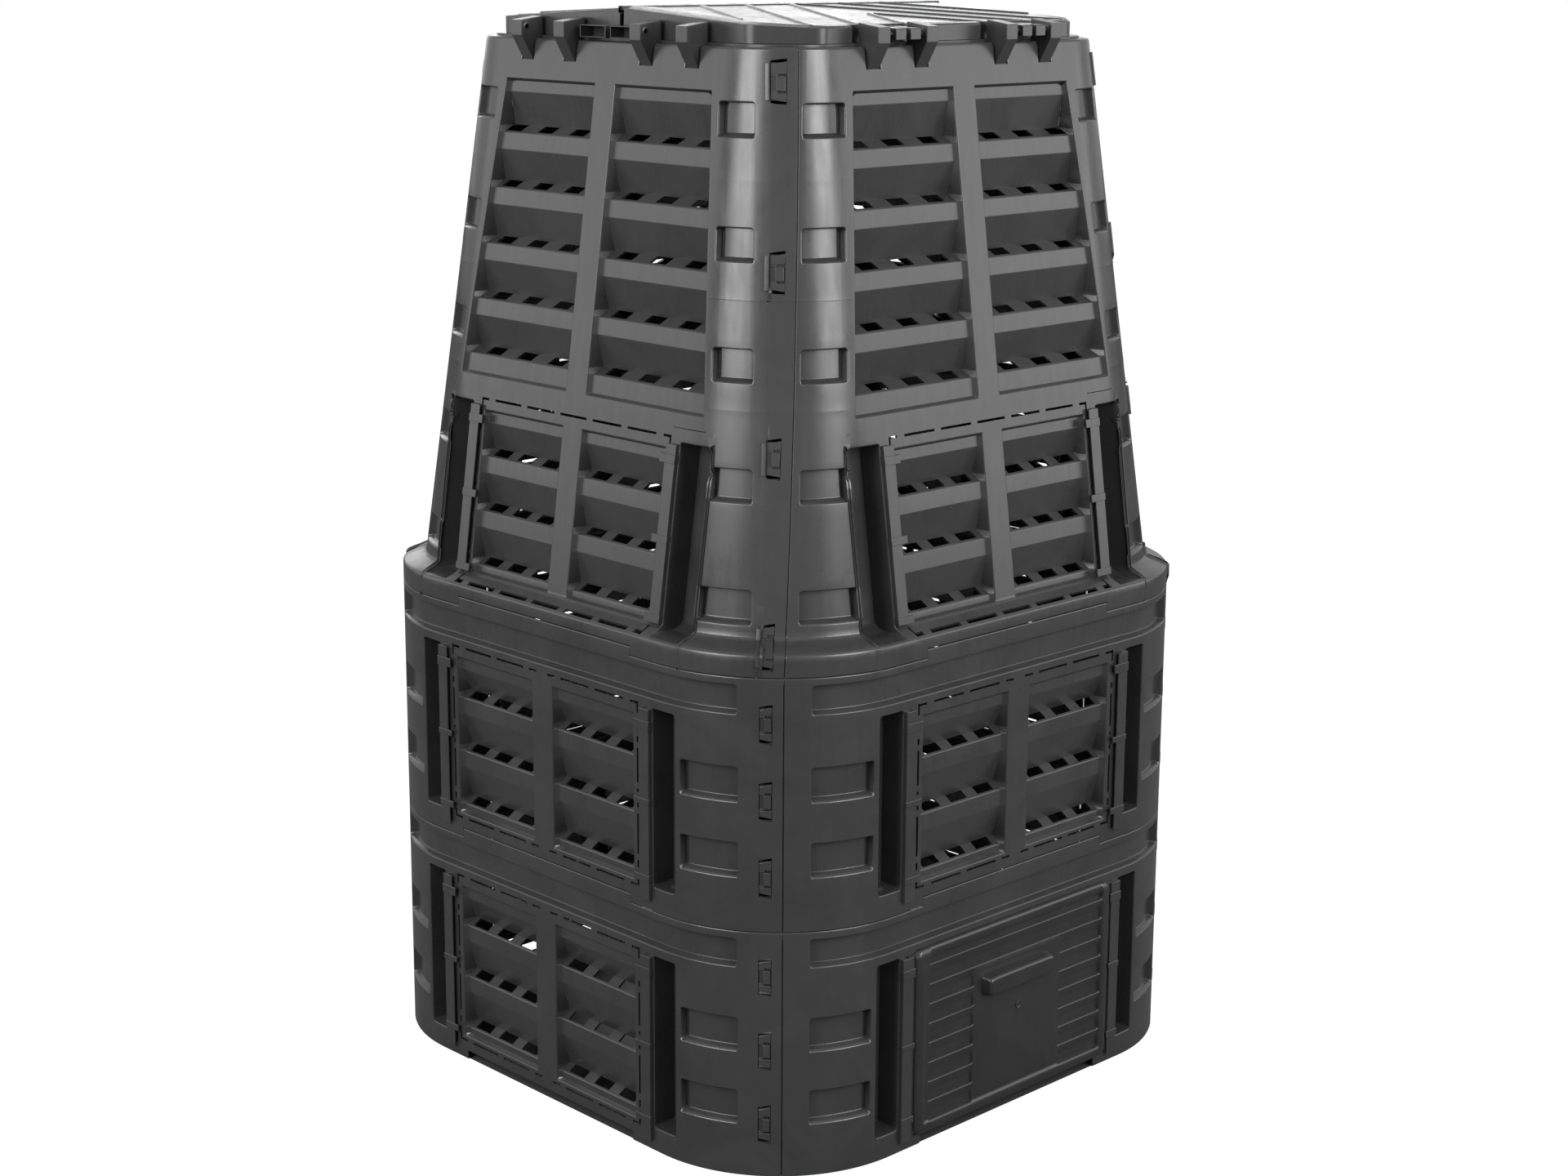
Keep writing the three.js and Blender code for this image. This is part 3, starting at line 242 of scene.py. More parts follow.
@dataclass
class Mesher:
    """Collects the surfaces of one piece, in millimetres, and turns them into one mesh."""

    points: list[Array] = field(default_factory=list)
    faces: list[list[int]] = field(default_factory=list)
    count: int = 0

    def take(self, points: Array, faces: list[list[int]]) -> None:
        """Takes in a part of the piece.

        Args:
            points: its points, shape (n, 3).
            faces: its faces, by those points' numbers.
        """
        self.points.append(points)
        self.faces.extend([corner + self.count for corner in face] for face in faces)
        self.count += len(points)

    def surface(self, grid: Array, keep: Array | None = None) -> None:
        """Adds a grid surface of quads.

        Args:
            grid: points of shape (m, n, 3); the first axis runs to the right and the second up, seen from
                outside.
            keep: which of the (m - 1, n - 1) quads are there; all of them by default.
        """
        m, n = grid.shape[:2]
        index = np.arange(m * n).reshape(m, n)
        quads = np.stack([index[:-1, :-1], index[1:, :-1], index[1:, 1:], index[:-1, 1:]], axis=-1)
        quads = quads.reshape(-1, 4) if keep is None else quads[keep]
        used, packed = np.unique(quads, return_inverse=True)
        self.take(grid.reshape(-1, 3)[used], packed.reshape(-1, 4).tolist())

    def solid(self, rings: Array) -> None:
        """Adds a closed solid: a closed outline carried through several places, with flat ends.

        The faces are turned round where the volume, summed over the triangles' cones, comes out negative.

        Args:
            rings: points of shape (places, outline points, 3).
        """
        m, n = rings.shape[:2]
        index = np.arange(m * n).reshape(m, n)
        after = np.roll(index, -1, axis=1)
        sides = np.stack([index[:-1], after[:-1], after[1:], index[1:]], axis=-1).reshape(-1, 4)
        flat = rings.reshape(-1, 3)
        centre = flat.mean(axis=0)
        a, b, c, d = (flat[sides[:, k]] - centre for k in range(4))
        volume = (np.cross(a, b) * c).sum() + (np.cross(a, c) * d).sum()
        for ring, turn in ((rings[0] - centre, 1), (rings[-1] - centre, -1)):
            volume += (np.cross(ring, np.roll(ring, turn, axis=0)) * ring.mean(axis=0)).sum()
        faces = [*sides.tolist(), index[0][::-1].tolist(), index[-1].tolist()]
        self.take(flat, [face[::-1] for face in faces] if volume < 0 else faces)

    def carried(self, places: Sequence[float], outlines: Sequence[Array], axis: int = 0) -> None:
        """Adds a solid from flat outlines, each of which stands at a place along an axis.

        Args:
            places: where each outline stands.
            outlines: an outline for each place, with the two other coordinates of each point.
            axis: 0 for x, 1 for y.
        """
        self.solid(np.array([np.insert(o, axis, place, axis=1) for place, o in zip(places, outlines)]))

    def build(self, name: str, side: Side = Side.FRONT) -> bpy.types.Object:
        """Makes the object, turned to a side of the bin by its points.

        Args:
            name: the piece's name.
            side: where the piece stands.

        Returns:
            The object at the origin.
        """
        x, y, z = np.concatenate(self.points).T
        cos, sin = math.cos(math.radians(side.value)), math.sin(math.radians(side.value))
        places = np.stack([x * cos - y * sin, x * sin + y * cos + SIZES.shift_y, z], axis=1) * MM
        mesh = bpy.data.meshes.new(name)
        mesh.from_pydata(places.tolist(), [], self.faces)
        mesh.shade_smooth()
        mesh.set_sharp_from_angle(angle=math.radians(42))
        self.sharpen_open_edges(mesh)
        piece = bpy.data.objects.new(name, mesh)
        bpy.context.scene.collection.objects.link(piece)
        return piece

    @staticmethod
    def sharpen_open_edges(mesh: bpy.types.Mesh) -> None:
        """Marks the edges with one face as sharp, so that a wall added there leaves the shading alone.

        Args:
            mesh: the piece's mesh.
        """
        sides = np.zeros(len(mesh.loops), dtype=np.int32)
        mesh.loops.foreach_get("edge_index", sides)
        sharp = np.zeros(len(mesh.edges), dtype=bool)
        mesh.edges.foreach_get("use_edge_sharp", sharp)
        sharp |= np.bincount(sides, minlength=len(mesh.edges)) == 1
        mesh.edges.foreach_set("use_edge_sharp", sharp)

    def add_piece(self, name: str, side: Side, finish: Finish, body: str, node: str, wall: float = 0.0,
                  edges: float = 0.0, weighted: bool = True) -> None:
        """Builds a piece with its modifiers, its finish, its body and the CAD node that it stands for.

        Args:
            name: the piece's name.
            side: where it stands.
            finish: its finish.
            body: the body that it rides on.
            node: the CAD node that it replaces, alone or together with other pieces.
            wall: the wall on the inner side of an open skin, in millimetres.
            edges: the radius of a solid's sharp edges, in millimetres.
            weighted: whether large flat faces keep their own shading beside small rounded ones.
        """
        piece = self.build(name, side)
        if wall:
            inner = piece.modifiers.new("wall", "SOLIDIFY")
            inner.thickness, inner.offset, inner.use_even_offset = wall * MM, -1.0, False
        if edges:
            bevel = piece.modifiers.new("edges", "BEVEL")
            bevel.width, bevel.segments = edges * MM, 2
            bevel.limit_method, bevel.angle_limit = "ANGLE", math.radians(35)
        if weighted:
            shading = piece.modifiers.new("shading", "WEIGHTED_NORMAL")
            shading.keep_sharp, shading.weight = True, 90
        piece.data.materials.append(finish.material)
        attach(piece, body)
        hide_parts(node)
        LOG.info("%s: %d faces on %s", name, len(piece.data.polygons), body)


def held(share: Array | float) -> Array:
    """A share held between 0 and 1."""
    return np.clip(share, 0, 1)


def smooth(share: Array) -> Array:
    """A share held between 0 and 1 and smoothed at both ends, 3t^2 - 2t^3."""
    return held(share) ** 2 * (3 - 2 * held(share))


@dataclass(frozen=True)
class Skin:
    """The bin's outer face: four flat sides joined by round corners, upright or tapered."""

    tapered: bool

    def half(self, z: Array) -> Array:
        """Half width at a height: constant, or a smooth shoulder and then a straight lean to the rim.

        Args:
            z: heights.

        Returns:
            The half width at each height.
        """
        if not self.tapered:
            return np.full_like(z, SIZES.half)
        start = SIZES.upper_foot + SIZES.taper_start
        lean = np.maximum((z - start) / (SIZES.rim - start), 0)
        drop = SIZES.half - SIZES.shoulder_setback - SIZES.rim_half
        return SIZES.half - SIZES.shoulder_setback * self.shoulder(z) - drop * lean

    def shoulder(self, z: Array) -> Array:
        """Share of the way through the shoulder, smoothed at both ends."""
        rise = z - SIZES.upper_foot - SIZES.band_end
        return smooth(rise / (SIZES.shoulder_end - SIZES.band_end))

    def axis(self, z: Array) -> Array:
        """Half length of a side's straight part at a height."""
        if not self.tapered:
            return np.full_like(z, SIZES.axis)
        return SIZES.axis + (SIZES.rim_axis - SIZES.axis) * self.shoulder(z)

    def seam(self, z: Array) -> Array:
        """Angle of the corner seam from the panel's own normal, in degrees: constant, or linear in height."""
        share = SIZES.rise_share(z) if self.tapered else np.zeros_like(z)
        return SIZES.seam + (SIZES.rim_seam - SIZES.seam) * share

    def along(self, angle: Array | float, z: Array) -> Array:
        """Distance along the outer face from the panel's middle to an angle on the corner."""
        return self.axis(z) + (self.half(z) - self.axis(z)) * np.radians(angle)

    def place(self, s: Array, d: Array, z: Array) -> Array:
        """Places points on the bin.

        Args:
            s: distance along the outer face from the panel's middle, positive to the right.
            d: depth behind the outer face.
            z: height.

        Returns:
            Points of the front side, shape (..., 3).
        """
        s, d, z = np.broadcast_arrays(s, d, z)
        return self.wrap(s, d, z, self.half(z), self.axis(z))

    @staticmethod
    def wrap(s: Array, d: Array, z: Array, half: Array | float, axis: Array | float) -> Array:
        """Places points round a corner.

        The straight part of a side is a plane; past it the point goes round the corner's axis by the angle
        arc length / radius, at the radius less the depth.

        Args:
            s: places along the face.
            d: depths behind the face.
            z: heights.
            half: half width of the bin there.
            axis: half length of a side's straight part there.

        Returns:
            Points of shape (..., 3).
        """
        reach = np.abs(s)
        angle = np.maximum(reach - axis, 0) / (half - axis)
        radius = half - axis - d
        x = np.sign(s) * (np.minimum(reach, axis) + radius * np.sin(angle))
        return np.stack(np.broadcast_arrays(x, -(axis + radius * np.cos(angle)), z), axis=-1)


# What the moulded edges share, in millimetres: the round and the grid lines of a recess's lip, the lean of
# its wall and the round of its corners; the bends of slopes; the round of a panel's outer edges; and the
# widest cells, upwards and across on the flat faces and across on the corners.
LIP, DRAFT, CORNER = 1.7, 0.9, 4.0
LIP_OFFSETS = (-LIP, -0.5 * LIP, -0.134 * LIP, 0.0)
EASE, SOFT = 1.0, 2.4
EASE_SHARES = (-1.0, -0.35, 0.35, 1.0)
RIM_ROUND = 1.5
RIM_OFFSETS = (0.0, 0.12, 0.5, 1.5)
TALL_CELL, WIDE_CELL, CORNER_CELL = 24.0, 30.0, 6.5
# Grid lines past a recess's edge, beside a straight edge and beside a rounded corner.
WALL_OFFSETS, CORNER_OFFSETS = (0.0, 0.6), (0.0, 0.6, 1.7, 3.1)
# A grid line is left out that lies closer than this to the line before it, or to the grid's end.
SAME_LINE, SAME_END = 0.04, 0.05


def edge(position: Array | float, inward: int, draft: float = DRAFT, rounded: bool = False) -> list:
    """Grid lines that a moulded edge needs: through its rounded lip and down its drafted wall.

    Args:
        position: where the edge is, a number or an array over the heights.
        inward: +1 if the recess lies at larger values, -1 if at smaller ones.
        draft: how far the wall leans over its depth.
        rounded: whether the recess has rounded corners, which need two more lines.

    Returns:
        The lines' positions.
    """
    past = CORNER_OFFSETS if rounded else WALL_OFFSETS
    return [position + inward * offset for offset in (*LIP_OFFSETS, *(draft + t for t in past))]


def flanks(side: int, near: Array | float, far: Array | float, draft: float = DRAFT,
           rounded: bool = False) -> list:
    """Upright grid lines for both sides of a recess on the left (-1) or the right (+1) of the middle."""
    return [*edge(side * near, side, draft, rounded), *edge(side * far, -side, draft, rounded)]


def ease(x: Array, bend: float = EASE) -> Array:
    """The larger of x and 0, with the bend drawn as the parabola (x + e)^2 / 4e between -e and e."""
    return np.where(np.abs(x) < bend, (x + bend) ** 2 / (4 * bend), np.maximum(x, 0))


def ramp(x: Array, length: float, bend: float = EASE) -> Array:
    """Share of the way up a slope of a length that starts at x = 0, with both bends eased."""
    return (ease(x, bend) - ease(x - length)) / length


def ramp_marks(low: float, high: float, bend: float = EASE) -> list[float]:
    """Heights that a slope with eased bends needs."""
    return [end + share * size for end, size in ((low, bend), (high, EASE)) for share in EASE_SHARES]


def levels(low: float, high: float, marks: Sequence[float], step: float) -> Array:
    """Heights of a grid: its ends, its marks, and even fill between marks that lie far apart.

    Args:
        low: lowest height.
        high: highest height.
        marks: heights that the grid has to have.
        step: widest gap.

    Returns:
        The heights in rising order.
    """
    inner = [mark for mark in marks if low + SAME_END < mark < high - SAME_END]
    kept = np.unique(np.round([*inner, low, high], 3))
    kept = kept[np.concatenate([[True], np.diff(kept) > SAME_LINE])]
    parts = [np.linspace(a, b, max(1, math.ceil((b - a) / step)), endpoint=False)
             for a, b in zip(kept[:-1], kept[1:])]
    return np.concatenate([*parts, kept[-1:]])


def face_grid(z: Array, marks: Sequence, step: float) -> tuple[Array, Array, Array, Array]:
    """Grid over the unrolled face, whose upright lines may each lean with the height.

    Args:
        z: the grid's heights.
        marks: places of upright lines, numbers or arrays over z; the outermost two are the grid's ends.
        step: widest cell.

    Returns:
        Places and heights of the grid's points, and of its cells' middles.
    """
    lines = np.array([np.broadcast_to(mark, z.shape) for mark in marks], dtype=float)
    lines = lines[np.argsort(lines.mean(axis=1))]
    lines = lines[np.concatenate([[True], np.diff(lines.mean(axis=1)) > SAME_LINE])]
    filled = []
    for a, b in zip(lines[:-1], lines[1:]):
        parts = max(1, math.ceil((b - a).max() / step))
        filled.extend(a + (b - a) * k / parts for k in range(parts))
    s = np.array([*filled, lines[-1]])
    height = np.broadcast_to(z, s.shape)
    middles = [(v[:-1, :-1] + v[1:, :-1] + v[1:, 1:] + v[:-1, 1:]) / 4 for v in (s, height)]
    return s, height, *middles


def recess(inside: Array, depth: float, draft: float = DRAFT) -> Array:
    """Depth of a moulded recess.

    Over the lip the depth is r - sqrt(r^2 - t^2), a quarter round, and past the edge it grows in proportion
    to the distance until the floor.

    Args:
        inside: signed distance inside the recess's edge.
        depth: depth of the floor.
        draft: distance over which the wall goes down.

    Returns:
        The depth at each point.
    """
    turn = np.clip(inside + LIP, 0, LIP)
    return LIP - np.sqrt(np.maximum(LIP ** 2 - turn ** 2, 0)) + (depth - LIP) * held(inside / draft)


def within(s: Array, z: Array, left: Array | float, right: Array | float, foot: float, head: float,
           radius: float = 0.0) -> Array:
    """Signed distance inside a rectangle with rounded corners.

    It is the least of the distances to the four edges; where the distances to two edges are under the radius
    it is the radius less the distance from the centre of the corner's circle.

    Args:
        s: places along the face.
        z: heights.
        left: left edge.
        right: right edge.
        foot: lower edge.
        head: upper edge.
        radius: radius of the corners.

    Returns:
        The distance at each point.
    """
    across = np.minimum(s - left, right - s)
    up = np.minimum(z - foot, head - z)
    corner = radius - np.hypot(radius - across, radius - up)
    return np.where((across < radius) & (up < radius), corner, np.minimum(across, up))


def edge_round(inside: Array, radius: float = RIM_ROUND) -> Array:
    """Depth of the quarter round along a panel's outer edge, by the distance inside it."""
    turn = np.clip(radius - inside, 0, radius)
    return radius - np.sqrt(np.maximum(radius ** 2 - turn ** 2, 0))


def in_spans(values: Array, spans: Spans) -> Array:
    """Whether each value lies in one of the spans."""
    return np.any([(values > low) & (values < high) for low, high in spans], axis=0)


def lifted(spans: Spans, foot: float) -> Spans:
    """Spans that are given above a foot, as heights."""
    return [(foot + low, foot + high) for low, high in spans]


def rectangle(left: float, right: float, foot: float, head: float) -> Array:
    """Corners of a rectangle, from the lower left one round."""
    return np.array([(left, foot), (right, foot), (right, head), (left, head)])


def span_ends(spans: Spans) -> list[float]:
    """Both ends of all spans."""
    return [end for span in spans for end in span]


@dataclass(frozen=True)
class Louvres:
    """The louvre sheet behind a window: brows, sloping plates and ledges with short slots."""

    near: float
    foot: float
    head: float
    fronts: tuple[float, ...]
    slots: Spans = ((32.0, 60.0), (78.5, 106.0), (124.0, 152.0))
    head_brow: float = 15.0
    brow: float = 20.0
    front_depth: float = 5.5
    ledge_depth: float = 13.0
    ledge_rise: float = 8.5
    slot_shares: tuple[float, float] = (0.22, 0.97)
    frame_depth: float = 26.0
    frame_draft: float = 3.6
    crease: float = 0.9

    def knots(self) -> list[tuple[float, float]]:
        """Lists the sheet's corners, each edge cut by a small facet.

        Returns:
            Heights and depths from the foot up.
        """
        out, back = self.front_depth, self.front_depth + self.ledge_depth
        knots = [(self.head + 5, out), (self.head - self.head_brow, out)]
        for line in self.fronts:
            top = line + self.ledge_rise
            knots += [(top + 1.2, back - 0.8), (top - 0.4, back - 0.3), (line + 1.1, out + 1.5),
                      (line + 0.3, out + 0.35), (line - self.crease, out), (line - self.brow, out)]
        return [(self.foot - 5, out), *knots[-2::-1]]

    def marks(self) -> list[float]:
        """Heights that the grid needs for this sheet."""
        folds = [self.head - self.head_brow, *[line - self.brow for line in self.fronts]]
        heights = [height for height, _ in self.knots()]
        heights += [fold + turn * self.crease for fold in folds for turn in ENDS]
        own = [height for height in heights if self.foot < height < self.head]
        return [*own, *span_ends(self.slot_rows()), *edge(self.foot, 1, SOFT), *edge(self.head, -1, SOFT)]

    def lines(self, far: Array | float) -> list:
        """Upright grid lines for both frames' sides, given the outer edge."""
        return [line for side in ENDS for line in flanks(side, self.near, far, self.frame_draft)]

    def slot_rows(self) -> Spans:
        """Lowest and highest point of the slots in each ledge."""
        low, high = (share * self.ledge_rise for share in self.slot_shares)
        return [(line + low, line + high) for line in self.fronts]

    def slot_columns(self) -> list[float]:
        """Places along the face of the slots' ends on both sides."""
        return [side * reach for side in ENDS for reach in span_ends(self.slots)]

    def dent(self, s: Array, z: Array, far: Array | float) -> Array:
        """Depth: the lesser of the frames' drafted walls and the sheet, straight between its knots."""
        frames = recess(within(np.abs(s), z, self.near, far, self.foot, self.head), self.frame_depth,
                        self.frame_draft)
        return np.minimum(frames, np.interp(z, *zip(*self.knots())))

    def holes(self, s: Array, z: Array) -> Array:
        """Which points lie in a slot."""
        return in_spans(np.abs(s), self.slots) & in_spans(z, self.slot_rows())


@dataclass(frozen=True)
class DashFrame:
    """The ring of short slits round the low windows that marks where a hatch can be cut out."""

    reach: float
    foot: float
    head: float
    first_slit: tuple[float, float]
    uprights: Spans
    width: float = 3.0

    def rows(self) -> Spans:
        """The slits of the top and bottom rows as spans along the face."""
        spans = [self.first_slit, (35.0, 86.0), (97.0, 147.0), (159.0, self.reach + self.width / 2)]
        return [*spans, *[(-far, -near) for near, far in spans]]

    def bands(self, *middles: float) -> Spans:
        """The spans of the slits' width round each middle."""
        return [(middle - self.width / 2, middle + self.width / 2) for middle in middles]

    def column_marks(self) -> list[float]:
        """Places along the face of all the slits' edges."""
        return span_ends([*self.rows(), *self.bands(-self.reach, self.reach)])

    def level_marks(self) -> list[float]:
        """Heights of all the slits' edges."""
        return span_ends([*self.bands(self.foot, self.head), *self.uprights])

    def holes(self, s: Array, z: Array) -> Array:
        """Which points lie in a slit."""
        rows = in_spans(s, self.rows()) & in_spans(z, self.bands(self.foot, self.head))
        return rows | (in_spans(np.abs(s), self.bands(self.reach)) & in_spans(z, self.uprights))


@dataclass(frozen=True)
class LowWindows:
    """The two low windows of a panel with their louvres and the ring of slits."""

    sheet: Louvres
    dashes: DashFrame
    far: float

    def marks(self) -> list[float]:
        """Heights that the grid needs."""
        return self.sheet.marks() + self.dashes.level_marks()

    def lines(self) -> list[float]:
        """Upright lines that the grid needs."""
        return [*self.sheet.slot_columns(), *self.dashes.column_marks(), *self.sheet.lines(self.far)]

    def dent(self, s: Array, z: Array) -> Array:
        """Depth of the windows."""
        return self.sheet.dent(s, z, self.far)

    def holes(self, s: Array, z: Array) -> Array:
        """Which points lie in a slot or a slit."""
        return self.sheet.holes(s, z) | self.dashes.holes(s, z)


@dataclass(frozen=True)
class HatchOpening:
    """The opening behind the sliding hatch."""

    foot: float
    head: float
    half: float = 160.0

    def marks(self) -> list[float]:
        """Heights that the grid needs."""
        return [self.foot, self.head]

    def lines(self) -> list[float]:
        """Upright lines that the grid needs."""
        return [-self.half, self.half]

    def dent(self, s: Array, z: Array) -> Array:
        """Depth beside the opening, which is none."""
        return np.zeros_like(s)

    def holes(self, s: Array, z: Array) -> Array:
        """Which points lie in the opening."""
        return (np.abs(s) < self.half) & (z > self.foot) & (z < self.head)


@dataclass(frozen=True)
class Pocket:
    """A shallow pocket at a corner: round corners, a lower lip that slopes outwards, a trough at one end."""

    foot: float
    head: float
    lip_drop: float = 3.2
    depth: float = 8.2
    trough: float = 2.2
    trough_end: float = 6.6
    trough_slope: float = 3.4
    trough_bend: float = 0.3

    def marks(self) -> list[float]:
        """Heights that the grid needs for this pocket."""
        low = self.foot - self.lip_drop
        slope = ramp_marks(low, self.foot, SOFT)
        return [*edge(self.head, -1, rounded=True), *slope, low - LIP, low + 2.0, low + 4.0]

    def lines(self, side: int, near: Array, far: Array) -> list[Array]:
        """Upright grid lines that the pocket needs, given its two ends."""
        slope = (self.trough_end - self.trough_slope, self.trough_end)
        bends = [end + turn * self.trough_bend for end in slope for turn in ENDS]
        return [*flanks(side, near, far, rounded=True), *[side * (near + bend) for bend in bends]]

    def dent(self, s: Array, z: Array, left: Array, right: Array) -> Array:
        """Depth of the pocket.

        It is the least of the drafted wall round a rounded rectangle, the sloping lower lip, and the floor,
        which is lower in a trough along the near end.

        Args:
            s: places along the face.
            z: heights.
            left: left edge.
            right: right edge.

        Returns:
            The depth at each point.
        """
        low = self.foot - self.lip_drop
        floor = self.depth + self.trough * held((self.trough_end - (s - left)) / self.trough_slope)
        wall = recess(within(s, z, left, right, low - 1.0, self.head, CORNER), self.depth + self.trough)
        return np.minimum(np.minimum(wall, floor), ramp(z - low, self.lip_drop, SOFT) * floor)


@dataclass(frozen=True)
class Channel:
    """The deep channel beside a guide strip."""

    near: float
    far: float
    foot: float
    head: float
    depth: float = 30.0
    draft: float = 1.6

    def marks(self) -> list[float]:
        """Heights that the grid needs for this channel."""
        return [*edge(self.foot, 1, self.draft, True), *edge(self.head, -1, self.draft, True)]

    def lines(self, side: int) -> list[float]:
        """Upright grid lines that the channel needs."""
        return flanks(side, self.near, self.far, self.draft, True)

    def dent(self, s: Array, z: Array) -> Array:
        """Depth of the channel."""
        return recess(within(s, z, self.near, self.far, self.foot, self.head, CORNER), self.depth, self.draft)


@dataclass(frozen=True)
class GuideStrip:
    """A guide strip beside the windows: a proud bar with a groove towards the middle, and three sleeves."""

    inner: float
    foot: float
    head: float
    sleeves: Spans
    sleeve_reach: float = 8.0
    width: float = 17.0
    grooved: float = 8.0
    proud: float = 5.3
    lip: float = 2.0
    sleeve_proud: float = 0.9

    def add(self, mesher: Mesher, skin: Skin, side: int) -> None:
        """Adds the strip and its sleeves on one side of a panel.

        Each outline of places and depths is carried up the face, so that it follows the wall's lean.

        Args:
            mesher: the fittings of the panel.
            skin: the face that carries the strip.
            side: -1 for the left and +1 for the right.
        """
        inner, outer, groove = self.inner, self.inner + self.width, self.inner + self.grooved
        top, under = -self.proud, self.lip - self.proud
        bar = [(outer, 1.0), (outer, top), (inner, top), (inner, under), (groove, under), (groove, 1.0)]
        reach, raised = inner - self.sleeve_reach, top - self.sleeve_proud
        sleeve = [(outer + 0.7, 0.5), (outer + 0.7, raised), (reach, raised), (reach, under - 0.3),
                  (inner + 2, under - 0.3), (inner + 2, top + 0.4), (outer - 1, top + 0.4), (outer - 1, 0.5)]
        parts = [(bar, self.foot, self.head, 5), *[(sleeve, *span, 2) for span in self.sleeves]]
        for outline, foot, head, count in parts:
            across, depth = np.array(outline).T
            mesher.solid(skin.place(side * across, depth, np.linspace(foot, head, count)[:, None]))


@dataclass(frozen=True)
class Clip:
    """A snap clip at a corner seam: a window in the overlapping panel and the hook that fills it."""

    foot: float
    head: float
    to_seam: float = 12.3
    narrow: float = 15.0
    wide: float = 19.0
    slit: float = 3.6
    slant: float = 2.8
    spread: float = 8.0
    tab_foot: float = 13.2
    tab_head: float = 30.4
    hook_depth: float = 0.5
    seat_depth: float = 3.9
    bar_inset: float = 4.0

    def window(self, skin: Skin, z: Array) -> tuple[Array, Array]:
        """Both edges of the window along the right end of the face; it widens up the tapered tier."""
        end = skin.along(skin.seam(z), z) - self.to_seam
        return end - (self.narrow + (self.wide - self.narrow) * held(SIZES.rise_share(z))), end

    def hook(self, skin: Skin, z: Array) -> tuple[Array, Array]:
        """Both edges of the hook along the left end of the face, behind the next panel's window."""
        near, far = self.window(skin, z)
        mirror = 2 * skin.along(45.0, z)
        return near - mirror + SIZES.gap, far - mirror - SIZES.gap

    def marks(self) -> list[float]:
        """Heights that the grid needs for this clip."""
        reaches = (-self.spread, 0.0, self.spread)
        return [self.foot + self.slit, self.head - self.slit,
                *[end + reach for end in (self.foot, self.head) for reach in reaches]]

    def warp(self, share: Array, z: Array) -> Array:
        """How far the grid's rows move so that the window's top and bottom edges spread to the right.

        The move is the slant times the share of the way across, times a tent round each edge.
        """
        up, down = (held(1 - np.abs(z - end) / self.spread) for end in (self.head, self.foot))
        return self.slant * (held(share) - 0.5) * (up - down)

    def cut(self, skin: Skin, s: Array, z: Array, side: int) -> Array:
        """Which points lie in the window, or at the left end in the slits below and above the hook.

        Args:
            skin: the face that carries it.
            s: places along the face.
            z: heights.
            side: -1 for the left end and +1 for the right.

        Returns:
            Whether each point lies there.
        """
        near, far = self.window(skin, z) if side > 0 else self.hook(skin, z)
        slits = [(self.foot, self.foot + self.slit), (self.head - self.slit, self.head)]
        return (s > near) & (s < far) & in_spans(z, [(self.foot, self.head)] if side > 0 else slits)

    def add_hook(self, mesher: Mesher, skin: Skin) -> None:
        """Adds the hook behind the next panel's window.

        It is an upper and a lower plate whose far edges are slanted like the window's, a tab between them,
        a prouder pad on it, and short bridges on the left half that leave a slit on the right half above and
        below the tab. Each part is given by its shares of the way across, its feet and heads there, and its
        depth.

        Args:
            mesher: the fittings of the panel.
            skin: the face that carries it.
        """
        low, high, half = self.foot + self.slit, self.head - self.slit, self.slant / 2
        tab_low, tab_high = self.foot + self.tab_foot, self.foot + self.tab_head
        parts = (
            ((0.0, 1.0), (tab_high + 1.6, tab_high + 1.6), (high - half, high + half), 0.0),
            ((0.0, 1.0), (low + half, low - half), (tab_low - 1.5, tab_low - 1.5), 0.0),
            ((0.0, 0.4), (tab_low, tab_low), (tab_high, tab_high), 1.2),
            ((0.34, 0.92), (tab_low + 0.8, tab_low + 0.8), (tab_high - 0.4, tab_high - 1.4), -1.2),
            ((0.0, 0.45), (tab_high - 1, tab_high - 1), (tab_high + 2, tab_high + 2), 0.3),
            ((0.0, 0.45), (tab_low - 2, tab_low - 2), (tab_low + 1, tab_low + 1), 0.3))
        for shares, feet, heads, sunk in parts:
            share = np.linspace(*shares, 4)
            z = np.stack([np.interp(share, (0, 1), ends) for ends in (feet, heads)], axis=1)
            near, far = self.hook(skin, z)
            s = near + (far - near) * share[:, None]
            face, seat = (skin.place(s, depth, z) for depth in (self.hook_depth + sunk, self.seat_depth))
            mesher.solid(np.stack([face[:, 0], face[:, 1], seat[:, 1], seat[:, 0]], axis=1))

    def add_bar(self, mesher: Mesher, skin: Skin) -> None:
        """Adds the raised bar beside a tapered window: an outline of places and depths carried up.

        Args:
            mesher: the fittings of the panel.
            skin: the face that carries it.
        """
        z = np.linspace(self.foot + self.bar_inset, self.head - self.bar_inset, 4)[:, None]
        near, _ = self.window(skin, z)
        across = np.array([-6.0, -5.3, -4.6, -0.9, -0.2, -0.2])
        depth = np.array([1.0, -1.9, -2.6, -3.0, -2.5, 1.5])
        mesher.solid(skin.place(near + across, depth, z))


